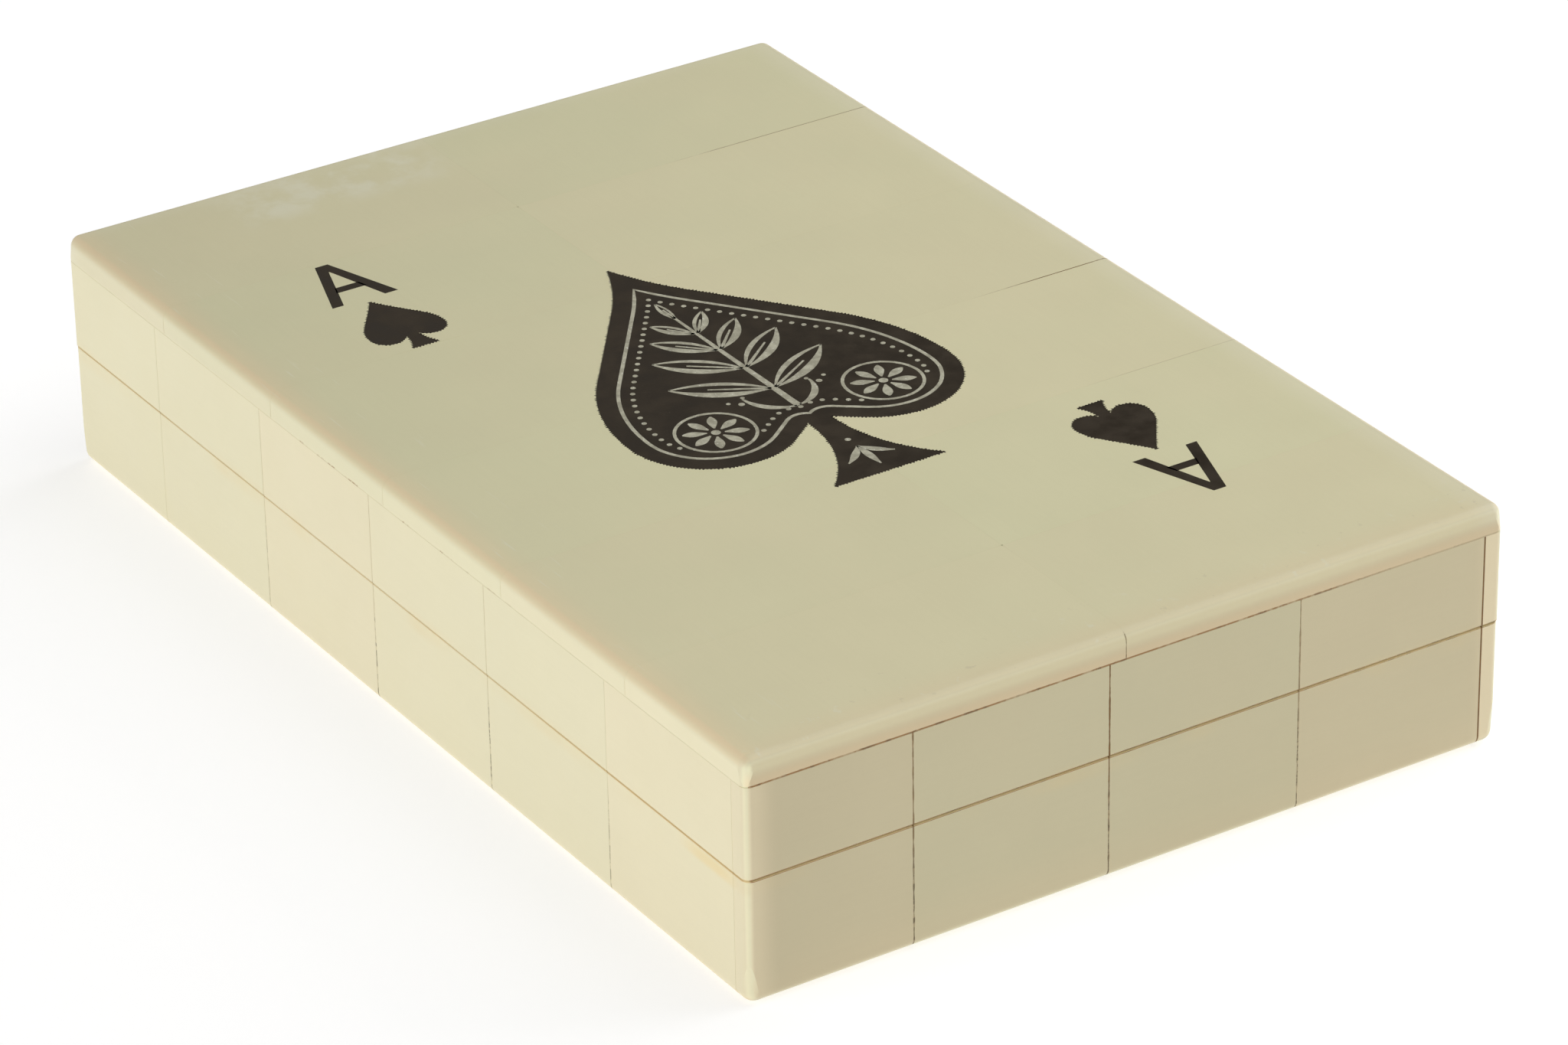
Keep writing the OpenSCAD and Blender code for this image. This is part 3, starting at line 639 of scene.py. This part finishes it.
class Mesh:
    """Vertices and faces in millimetres, gathered for one piece."""

    def __init__(self):
        self.points = []
        self.faces = []

    def prism(self, outline, place, low, high):
        """Closed prism of a plane outline. Place turns (u, v, height) into a point."""
        start = len(self.points)
        first = len(self.faces)
        count = len(outline)
        self.points += [place(u, v, low) for u, v in outline]
        self.points += [place(u, v, high) for u, v in outline]
        self.faces.append([start + i for i in reversed(range(count))])
        self.faces.append([start + count + i for i in range(count)])
        for i in range(count):
            j = (i + 1) % count
            self.faces.append([start + i, start + j, start + count + j, start + count + i])
        self.face_outwards(first)

    def band(self, left, right, low, high, closed):
        """Flat band between two lines of points, with its top, bottom and edges."""
        start = len(self.points)
        first = len(self.faces)
        count = len(left)
        up = 2 * count
        for z in (low, high):
            self.points += [(*p, z) for p in left + right]
        for i in range(count if closed else count - 1):
            j = (i + 1) % count
            a, b, c, d = start + i, start + j, start + count + j, start + count + i
            self.faces += [[a, b, c, d], [d + up, c + up, b + up, a + up],
                           [a + up, b + up, b, a], [d, c, c + up, d + up]]
        if not closed:
            for i in (0, count - 1):
                a, d = start + i, start + count + i
                end = [a, d, d + up, a + up]
                self.faces.append(end if i == 0 else end[::-1])
        self.face_outwards(first)

    def face_outwards(self, first):
        """Turns the faces of a closed form outwards. It goes from the first face to the last one so far."""
        origin = Vector(self.points[self.faces[first][0]])
        volume = 0.0
        for face in self.faces[first:]:
            a, *rest = (Vector(self.points[i]) - origin for i in face)
            volume += sum(a.dot(b.cross(c)) for b, c in zip(rest, rest[1:]))
        if volume < 0:
            self.faces[first:] = [face[::-1] for face in self.faces[first:]]

    def piece(self, name, body, material, slot):
        """Makes the piece, in metres, and lets it ride on its body."""
        made = bpy.data.meshes.new(name)
        made.from_pydata([Vector(p) * MM for p in self.points], [], self.faces)
        made.materials.append(material)
        made.validate()
        made.update()
        piece = add_object(name, made)
        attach(piece, body)
        return piece


def as_drawn(u, v, height):
    """Place of an outline that lies level."""
    return (u, v, height)


def arc(middle, radius, start, end, steps=8):
    """Points along an arc, both ends included. Angles in degrees."""
    angles = [math.radians(start + (end - start) * i / steps) for i in range(steps + 1)]
    return [(middle[0] + radius * math.cos(a), middle[1] + radius * math.sin(a)) for a in angles]


def turned(point, angle):
    """A point turned about Z by an angle in degrees."""
    c, s = math.cos(math.radians(angle)), math.sin(math.radians(angle))
    x, y, z = point
    return (x * c - y * s, x * s + y * c, z)


# Glue lines

SIDE_RECESS = 0.02
TOP_RECESS = 0.006
BED_OVER_WOOD = 0.3
BED_INNER_RADIUS = 0.4
GLUE_UNDER_FILL = 1.0


def base_profile(half):
    """Outline of the glue between two side tiles of the base: distance outwards, height."""
    out = half - SIDE_RECESS
    low = BASE_LOW_Z + SIDE_RECESS
    inner = half - BASE_TILE_THICK
    high = BASE_RIM - SIDE_RECESS
    return ([(inner, low)] + arc((out - FOOT_RADIUS, low + FOOT_RADIUS), FOOT_RADIUS, -90, 0)
            + [(out, high - RIM_EASE), (out - RIM_EASE, high), (inner, high)])


def lid_profile(half):
    """Outline of the glue between two side tiles of the lid."""
    out = half - SIDE_RECESS
    low = LID_RIM + SIDE_RECESS
    inner = half - LID_TILE_THICK
    return [(inner, low), (out - RIM_EASE, low), (out, low + RIM_EASE), (out, SIDE_TOP_Z), (inner, SIDE_TOP_Z)]


def side_joints(side):
    """Middles of the glue lines along a side, in the foot side's own direction."""
    wood_half = WOOD_HALF_W if side in ENDS else WOOD_HALF_L
    count = round(2 * wood_half / SIDE_PITCH)
    return [wood_half - GLUE_LINE / 2] + [wood_half - i * SIDE_PITCH for i in range(1, count)]


def side_glue():
    """Glue between the side tiles of base and lid."""
    halves = {BASE: (BASE_HALF_W, BASE_HALF_L), LID: (LID_HALF_W, LID_HALF_L)}
    for part, profile in ((BASE, base_profile), (LID, lid_profile)):
        half_w, half_l = halves[part]
        for side, angle in SIDES.items():
            outline = profile(half_l if side in ENDS else half_w)
            mesh = Mesh()
            for middle in side_joints(side):
                mesh.prism(outline, lambda u, v, h: turned((h, -u, v), angle),
                           middle - GLUE_LINE / 2, middle + GLUE_LINE / 2)
            mesh.piece(f"{part}_{side}_glue_lines", part, GLUE_FINISH[side], "bone")


def rounded_rectangle(half_w, half_l, radius):
    """Outline of a rectangle about the middle, with rounded corners."""
    corners = [(half_w, half_l, 0), (-half_w, half_l, 90), (-half_w, -half_l, 180), (half_w, -half_l, 270)]
    points = []
    for x, y, start in corners:
        middle = (x - math.copysign(radius, x), y - math.copysign(radius, y))
        points += arc(middle, radius, start, start + 90, 6)
    return points


def slab_glue():
    """The glue bed between the slab and the side tiles, a frame all round the lid."""
    mesh = Mesh()
    outer = rounded_rectangle(LID_HALF_W - SIDE_RECESS, LID_HALF_L - SIDE_RECESS, SLAB_CORNER_RADIUS)
    inner = rounded_rectangle(WOOD_HALF_W + BED_OVER_WOOD, WOOD_HALF_L + BED_OVER_WOOD, BED_INNER_RADIUS)
    mesh.band(inner, outer, SIDE_TOP_Z, SLAB_Z, closed=True)
    mesh.piece("lid_slab_glue_line", LID, slab_joint(), "bone")


def slab_joint():
    """Glue under the slab, stained like the bone on both sides of it, with the same painted shade tones and
    painted warm light on the ends.
    """
    made = polished_bone("glue_slab")
    to_end = made.facing_end()
    colour = painted_light_and_shade(made, made.mix(made.times(to_end, 0.8), BONE, BONE_PINK))
    made.colour(slab_stain(made, colour, to_end))
    return made.data


def loop_at_top(node):
    """Closed outlines of a node's top face, one list of points for each, in millimetres."""
    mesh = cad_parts[node].data
    top = max(v.co.z for v in mesh.vertices)
    keys = [(round(v.co.x / MM, 3), round(v.co.y / MM, 3)) for v in mesh.vertices]
    edges = {}  # a dict keeps them in the order in which they are found, so that each run gives the same loops
    for face in mesh.polygons:
        if all(top - mesh.vertices[i].co.z < 1e-6 for i in face.vertices):
            ring = [keys[i] for i in face.vertices]
            for a, b in zip(ring, ring[1:] + ring[:1]):
                if (b, a) in edges:
                    del edges[(b, a)]
                else:
                    edges[(a, b)] = True
    following = {a: b for a, b in edges}
    loops = []
    while following:
        start = next(iter(following))
        loop = [start]
        while loop[-1] in following:
            loop.append(following.pop(loop[-1]))
        loops.append(loop[:-1])
    return loops


def crossings(loop, axis, value):
    """Where a closed outline crosses a line along the other axis, in order."""
    found = []
    for a, b in zip(loop, loop[1:] + loop[:1]):
        if (a[axis] - value) * (b[axis] - value) < 0:
            share = (value - a[axis]) / (b[axis] - a[axis])
            found.append(a[1 - axis] + share * (b[1 - axis] - a[1 - axis]))
    return sorted(found)


SPADE_LOOP = loop_at_top("centre_spade_fill")[0]
PIP_LOOPS = loop_at_top("corner_pip_fills")


def top_glue():
    """Glue between the slab tiles, flush with the bone, and left out where the black filling crosses it."""
    half_gap = GLUE_LINE / 2
    count = round((2 * LID_HALF_L - TOP_FIRST_ROW) / TOP_PITCH)
    joints = [(1, LID_HALF_L - TOP_FIRST_ROW - i * TOP_PITCH, LID_HALF_W) for i in range(count)]
    joints.append((0, TOP_COLUMN_W - LID_HALF_W, LID_HALF_L))
    top = TOP_Z - TOP_RECESS
    bend = TOP_RADIUS - SIDE_RECESS
    low = FILL_TOP - GLUE_UNDER_FILL
    mesh = Mesh()
    for axis, value, half in joints:
        end = half - SIDE_RECESS
        cuts = crossings(SPADE_LOOP, axis, value)
        notch = []
        for first, second in zip(cuts[0::2], cuts[1::2]):
            notch = [(second, top), (second, low), (first, low), (first, top)] + notch
        outline = ([(-end, SLAB_Z), (end, SLAB_Z)] + arc((end - bend, top - bend), bend, 0, 90)
                   + notch + arc((bend - end, top - bend), bend, 90, 180))
        mesh.prism(outline, lambda u, v, h: (u, h, v) if axis == 1 else (h, u, v),
                   value - half_gap, value + half_gap)
    mesh.piece("lid_top_glue_lines", LID, top_bone(joint=True), "bone")


# Letters

LETTER_TOP = 0.008
LETTER_DEPTH = 0.05

# Middle of the feet of each letter, and its turn in degrees
LETTERS = [((-31.3, 43.3), 0), ((28.25, -48.1), 180)]


def letter_polygons():
    """Plain capital A about its own middle line: its two legs and its bar, as outlines. Feet at height 0."""
    height, apex, foot, bar_low, bar_high = 11.5, 0.93, 4.8, 3.5, 4.9
    inner_apex, inner_top, notch, overlap = 0.23, 8.9, 0.6, 0.3
    left_stroke, right_stroke = 1.65, 1.9
    legs = [(-foot, 0), (-foot + left_stroke, 0), (-inner_apex, inner_top), (0, inner_top + notch),
            (inner_apex, inner_top), (foot - right_stroke, 0), (foot, 0), (apex, height), (-apex, height)]
    low_half, high_half = ((foot - left_stroke) * (1 - y / inner_top) + overlap for y in (bar_low, bar_high))
    bar = [(-low_half, bar_low), (low_half, bar_low), (high_half, bar_high), (-high_half, bar_high)]
    return [legs, bar]


def letters():
    """The two letters A of the corner indexes, as thin black pieces in the bone."""
    mesh = Mesh()
    for middle, turn in LETTERS:
        for outline in letter_polygons():
            mesh.prism(outline, lambda u, v, h: Vector(turned((u, v, h), turn)) + Vector((*middle, 0)),
                       TOP_Z - LETTER_DEPTH, TOP_Z + LETTER_TOP)
    mesh.piece("index_letters", LID, FILLING, "black_filling")


# Ornament in the big spade

def distance_to(loop, point):
    """Distance from a point to a closed outline."""
    best = math.inf
    px, py = point
    for (ax, ay), (bx, by) in zip(loop, loop[1:] + loop[:1]):
        dx, dy = bx - ax, by - ay
        share = max(0.0, min(1.0, ((px - ax) * dx + (py - ay) * dy) / (dx * dx + dy * dy)))
        best = min(best, math.hypot(px - ax - share * dx, py - ay - share * dy))
    return best


def resampled(loop, pitch):
    """Points at an even pitch along a closed line."""
    line = loop + loop[:1]
    steps = [math.dist(a, b) for a, b in zip(line, line[1:])]
    total = sum(steps)
    count = round(total / pitch)
    made, index, passed = [], 0, 0.0
    for i in range(count):
        target = total * i / count
        while index < len(steps) - 1 and passed + steps[index] < target:
            passed += steps[index]
            index += 1
        share = (target - passed) / steps[index]
        a, b = line[index], line[index + 1]
        made.append((a[0] + (b[0] - a[0]) * share, a[1] + (b[1] - a[1]) * share))
    return made


def inset_loop(loop, inset, middle):
    """Closed line that keeps an inset inside an outline, found along rays from a point in its middle."""
    points = []
    for i in range(INSET_RAYS):
        angle = math.radians(90 + 360 * i / INSET_RAYS)
        reach, room = 0.0, 1.0
        while room > 0.01:
            at = (middle[0] + reach * math.cos(angle), middle[1] + reach * math.sin(angle))
            room = distance_to(loop, at) - inset
            reach += room
        points.append(at)
    return points


def bent(start, heading, length, turn, steps=14):
    """Line that starts out at a heading and turns by an angle over its length."""
    points = [start]
    for i in range(steps):
        angle = math.radians(heading + turn * (i + 0.5) / steps)
        x, y = points[-1]
        points.append((x + length / steps * math.cos(angle), y + length / steps * math.sin(angle)))
    return points


def swelling(thin, thick, power=1.4):
    """Width that grows from thin to thick half-way, and shrinks again."""
    return lambda share: thin + (thick - thin) * math.sin(math.pi * share) ** power


def stroke(mesh, points, width, closed, low, high):
    """Band of a varying width along a line. Width is a number, or a function of the share of the way."""
    count = len(points)
    left, right = [], []
    for i, point in enumerate(points):
        before = points[i - 1] if i > 0 or closed else point
        after = points[(i + 1) % count] if i < count - 1 or closed else point
        dx, dy = after[0] - before[0], after[1] - before[1]
        length = math.hypot(dx, dy) or 1.0
        half = (width(i / (count - 1)) if callable(width) else width) / 2
        left.append((point[0] - dy / length * half, point[1] + dx / length * half))
        right.append((point[0] + dy / length * half, point[1] - dx / length * half))
    mesh.band(right, left, low, high, closed)


ORNAMENT_LOW = FILL_TOP - 0.07
ORNAMENT_TOP = FILL_TOP + 0.02

# The ornament is measured from the spade's axis and its widest level. Its insets are found from its middle.
SPADE_MIDDLE = (0, 5)
INSET_RAYS = 144
CONTOUR_INSET = 2.7
CONTOUR_WIDTH = 0.5
BEAD_INSET = 4.5
BEAD_PITCH = 1.62
BEAD_RADIUS = 0.34

# Where the stem starts, and its step and number of points
STEM_TOP = 27.4
STEM_STEP = 0.5
STEM_POINTS = 59

# Leaves: height, heading, length, how far the edges bow, thickness of the lower edge. All but the one at the
# tip are in pairs, and so are the tendrils: start, heading, length, turn.
TIP_LEAF = (27.2, 90, 5.0, 22, 0.5)
LEAVES = [(22.2, 126, 6.2, 26, 0.85), (16.8, 134, 9.0, 27, 1.05), (10.8, 141, 11.8, 27, 1.2),
          (4.2, 149, 13.2, 26, 1.3)]
TENDRIL = ((-0.2, -1.5), 172, 7.6, -80)

ROSETTE_AT = (12.3, -1.9)
ROSETTE_RADIUS = 5.1
ROSETTE_WIDTH = 0.44
ROSETTE_EYE = 0.62
ROSETTE_GAP = 0.75
PETALS = 8
PETAL_START = 1.1
PETAL_LENGTH = 3.1

# Place and radius of the dots between a rosette and the stem
DOTS = [(5.7, 2.6, 0.42), (4.7, 4.0, 0.3), (7.0, 3.6, 0.3)]

# The leaves in the foot of the spade: heading, length, turn. Their start, and the dot over them.
FOOT_LEAVES = [(270, 5.4, 0), (240, 4.8, -30), (300, 4.8, 30)]
FOOT_LEAF_START = (0, -14.6)
FOOT_DOT = (0, -12.6, 0.4)


def ornament():
    """A leafy stem between two rosettes, inside a line and a row of beads, and three leaves in the foot."""
    low, high = box_mm("centre_spade_fill")
    axis = (low.x + high.x) / 2
    level = min(SPADE_LOOP)[1]
    loop = [(x - axis, y - level) for x, y in SPADE_LOOP]
    mesh = Mesh()

    def line(points, width, closed=False):
        placed = [(x + axis, y + level) for x, y in points]
        stroke(mesh, placed, width, closed, ORNAMENT_LOW, ORNAMENT_TOP)

    def both(points, width):
        line(points, width)
        line([(-x, y) for x, y in points], width)

    def dot(x, y, radius):
        ring = arc((x + axis, y + level), radius, 0, 330, 11)
        mesh.prism(ring, as_drawn, ORNAMENT_LOW, ORNAMENT_TOP)

    def leaf(start, heading, length, bow, thick, draw):
        draw(bent(start, heading + bow, length, -2 * bow), swelling(0.26, thick))
        draw(bent(start, heading - bow, length, 2 * bow), swelling(0.26, 0.6 * thick))
        draw(bent(start, heading, 0.6 * length, 0), lambda share: 0.5 - 0.25 * share)

    line(inset_loop(loop, CONTOUR_INSET, SPADE_MIDDLE), CONTOUR_WIDTH, closed=True)
    for x, y in resampled(inset_loop(loop, BEAD_INSET, SPADE_MIDDLE), BEAD_PITCH):
        if math.hypot(abs(x) - ROSETTE_AT[0], y - ROSETTE_AT[1]) > ROSETTE_RADIUS + ROSETTE_GAP:
            dot(x, y, BEAD_RADIUS)
    line([(0, STEM_TOP - STEM_STEP * i) for i in range(STEM_POINTS)], lambda share: 0.4 + 0.6 * share)
    height, *shape = TIP_LEAF
    leaf((0, height), *shape, line)
    for height, *shape in LEAVES:
        leaf((-0.3, height), *shape, both)
    both(bent(*TENDRIL), swelling(0.3, 0.95))
    for side in (-1, 1):
        middle = (side * ROSETTE_AT[0], ROSETTE_AT[1])
        line(arc(middle, ROSETTE_RADIUS, 0, 350, 35), ROSETTE_WIDTH, closed=True)
        dot(*middle, ROSETTE_EYE)
        for i in range(PETALS):
            heading = 360 * (i + 0.5) / PETALS
            start = arc(middle, PETAL_START, heading, heading, 1)[0]
            line(bent(start, heading, PETAL_LENGTH, 0),
                 lambda share: 0.22 + (0.6 + 0.85 * share) * math.sin(math.pi * share))
        for x, y, radius in DOTS:
            dot(side * x, y, radius)
    for heading, length, turn in FOOT_LEAVES:
        line(bent(FOOT_LEAF_START, heading, length, turn), swelling(0.22, 1.05))
    dot(*FOOT_DOT)
    mesh.piece("centre_spade_ornament", LID, ORNAMENT, "bone")


FRINGE_PITCH = 0.46
FRINGE_REACH = (0.10, 0.325)
FRINGE_OVERLAP = 0.03
FRINGE_DEPTH = 0.04
FRINGE_TOP = 0.004
FRINGE_SEED = 11


def ink_fringe():
    """The small teeth that the cutting tool left round the black figures."""
    mesh = Mesh()
    rng = random.Random(FRINGE_SEED)
    for loop in [SPADE_LOOP] + PIP_LOOPS:
        ring = resampled(loop, FRINGE_PITCH)
        area = sum(a[0] * b[1] - a[1] * b[0] for a, b in zip(ring, ring[1:] + ring[:1]))
        turn = math.copysign(1, area)
        for a, b in zip(ring, ring[1:] + ring[:1]):
            dx, dy = b[0] - a[0], b[1] - a[1]
            length = math.hypot(dx, dy)
            reach = rng.uniform(*FRINGE_REACH) / length * turn
            tip = ((a[0] + b[0]) / 2 + dy * reach, (a[1] + b[1]) / 2 - dx * reach)
            inner = FRINGE_OVERLAP / length * turn
            tooth = [(a[0] - dy * inner, a[1] + dx * inner), tip, (b[0] - dy * inner, b[1] + dx * inner)]
            mesh.prism(tooth, as_drawn, TOP_Z - FRINGE_DEPTH, TOP_Z + FRINGE_TOP)
    mesh.piece("ink_fringe", LID, FILLING, "black_filling")


# Felts: size of a cell, how uneven the cut edges and the upper side are, and how far the edges lie lower

FELT_CELL = 3.0
FELT_CUT = 0.12
FELT_MATTING = 0.05
FELT_EDGE_DROP = 0.06


def felt_piece(node, body, seed):
    """A felt cut to its node's size: a plate with a matted upper side and slightly uneven cut edges."""
    low, high = box_mm(node)
    width, length = high.x - low.x, high.y - low.y
    cells_x, cells_y = (round(size / FELT_CELL) for size in (width, length))
    rng = random.Random(seed)
    mesh = Mesh()
    index = {}
    for level, z in (("low", low.z), ("high", high.z)):
        for j in range(cells_y + 1):
            for i in range(cells_x + 1):
                edge = i in (0, cells_x) or j in (0, cells_y)
                x = low.x + width * i / cells_x
                y = low.y + length * j / cells_y
                if i in (0, cells_x):
                    x += FELT_CUT * rng.random() * (1 if i == 0 else -1)
                if j in (0, cells_y):
                    y += FELT_CUT * rng.random() * (1 if j == 0 else -1)
                drop = FELT_EDGE_DROP if edge else FELT_MATTING * rng.random()
                index[(level, i, j)] = len(mesh.points)
                mesh.points.append((x, y, z - drop if level == "high" else z))
    for j in range(cells_y):
        for i in range(cells_x):
            for level in ("low", "high"):
                ring = [index[(level, i, j)], index[(level, i + 1, j)], index[(level, i + 1, j + 1)],
                        index[(level, i, j + 1)]]
                mesh.faces.append(ring if level == "high" else ring[::-1])
    border = ([(i, 0) for i in range(cells_x)] + [(cells_x, j) for j in range(cells_y)]
              + [(cells_x - i, cells_y) for i in range(cells_x)] + [(0, cells_y - j) for j in range(cells_y)])
    for a, b in zip(border, border[1:] + border[:1]):
        mesh.faces.append([index[("low", *a)], index[("low", *b)], index[("high", *b)], index[("high", *a)]])
    piece = mesh.piece(node + "_cloth", body, FELT, "felt")
    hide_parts(node)


def felts():
    """The felts under the base, in its two wells and in the lid."""
    felt_piece("underside_felt", BASE, seed=1)
    felt_piece("base_foot_felt", BASE, seed=2)
    felt_piece("base_head_felt", BASE, seed=3)
    felt_piece("lid_felt", LID, seed=4)


# Stage, light and camera. Places and sizes are in metres from here on, and powers in watts.

FLOOR_REACH = 6.0
FLOOR_GLOW = 0.66
WORLD_GLOW = 0.035
LIGHTS_AIM = (0, 0, 0.015)

# Name, place, size and power
LIGHTS = [
    ("key", (-2.1, 0.0, 0.6), (1.9, 1.2), 27.2),
    ("overhead", (0.4, -0.1, 0.9), (0.9, 0.7), 3.8),
    ("front", (-0.1, -1.2, 1.1), (1.6, 1.0), 3.8),
    ("right", (1.3, -0.1, 0.7), (1.4, 1.0), 10.9),
    ("rear", (0.2, 1.5, 0.7), (1.4, 1.0), 1.0),
]


def floor():
    """A pale floor that glows a little, so that it comes out nearly as white as the photograph's ground."""
    made = bpy.data.meshes.new("floor")
    r = FLOOR_REACH
    made.from_pydata([(-r, -r, 0), (r, -r, 0), (r, r, 0), (-r, r, 0)], [], [(0, 1, 2, 3)])
    finish = Finish("floor_paper", roughness=0.9, specular=0.1)
    finish.colour((0.5, 0.5, 0.5))
    finish.shader.inputs["Emission Color"].default_value = (1, 1, 1, 1)
    finish.shader.inputs["Emission Strength"].default_value = FLOOR_GLOW
    made.materials.append(finish.data)
    piece = add_object("floor", made)


def area_light(name, place, size, power):
    """A white rectangular light aimed at the box."""
    data = bpy.data.lights.new(name, "AREA")
    data.shape = "RECTANGLE"
    data.size, data.size_y = size
    data.energy = power
    light = add_object(name, data)
    light.location = place
    light.rotation_mode = "QUATERNION"
    light.rotation_quaternion = (Vector(LIGHTS_AIM) - Vector(place)).to_track_quat("-Z", "Y")


def lights():
    """Soft light from the left as in the photograph, fill from the other sides, and a faint even surround."""
    for light in LIGHTS:
        area_light(*light)
    world = bpy.data.worlds.new("studio")
    world.use_nodes = True
    background = world.node_tree.nodes["Background"]
    background.inputs["Color"].default_value = (1.0, 1.0, 1.0, 1)
    background.inputs["Strength"].default_value = WORLD_GLOW
    bpy.context.scene.world = world


# Where the photograph was taken from
CAMERA_PLACE = (-0.4029, -0.6435, 0.4215)
CAMERA_AIM = (0.46976, 0.74332, -0.47623)
CAMERA_ROLL = -1.0503
CAMERA_LENS = 156.83
SENSOR_WIDTH = 36.0


def camera():
    """The camera that was fitted to the corners and joints of the box in the photograph."""
    data = bpy.data.cameras.new("camera")
    data.lens = CAMERA_LENS
    data.sensor_width = SENSOR_WIDTH
    data.clip_start = 0.01
    data.clip_end = 50
    made = add_object("camera", data)
    made.location = CAMERA_PLACE
    made.rotation_mode = "QUATERNION"
    level = Vector(CAMERA_AIM).to_track_quat("-Z", "Y").to_matrix().to_4x4()
    roll = Matrix.Rotation(math.radians(CAMERA_ROLL), 4, "Z")
    made.rotation_quaternion = (level @ roll).to_quaternion()
    bpy.context.scene.camera = made


finish_nodes()
side_glue()
slab_glue()
top_glue()
letters()
ornament()
ink_fringe()
felts()
floor()
lights()
camera()
bpy.context.scene.view_settings.view_transform = "Standard"
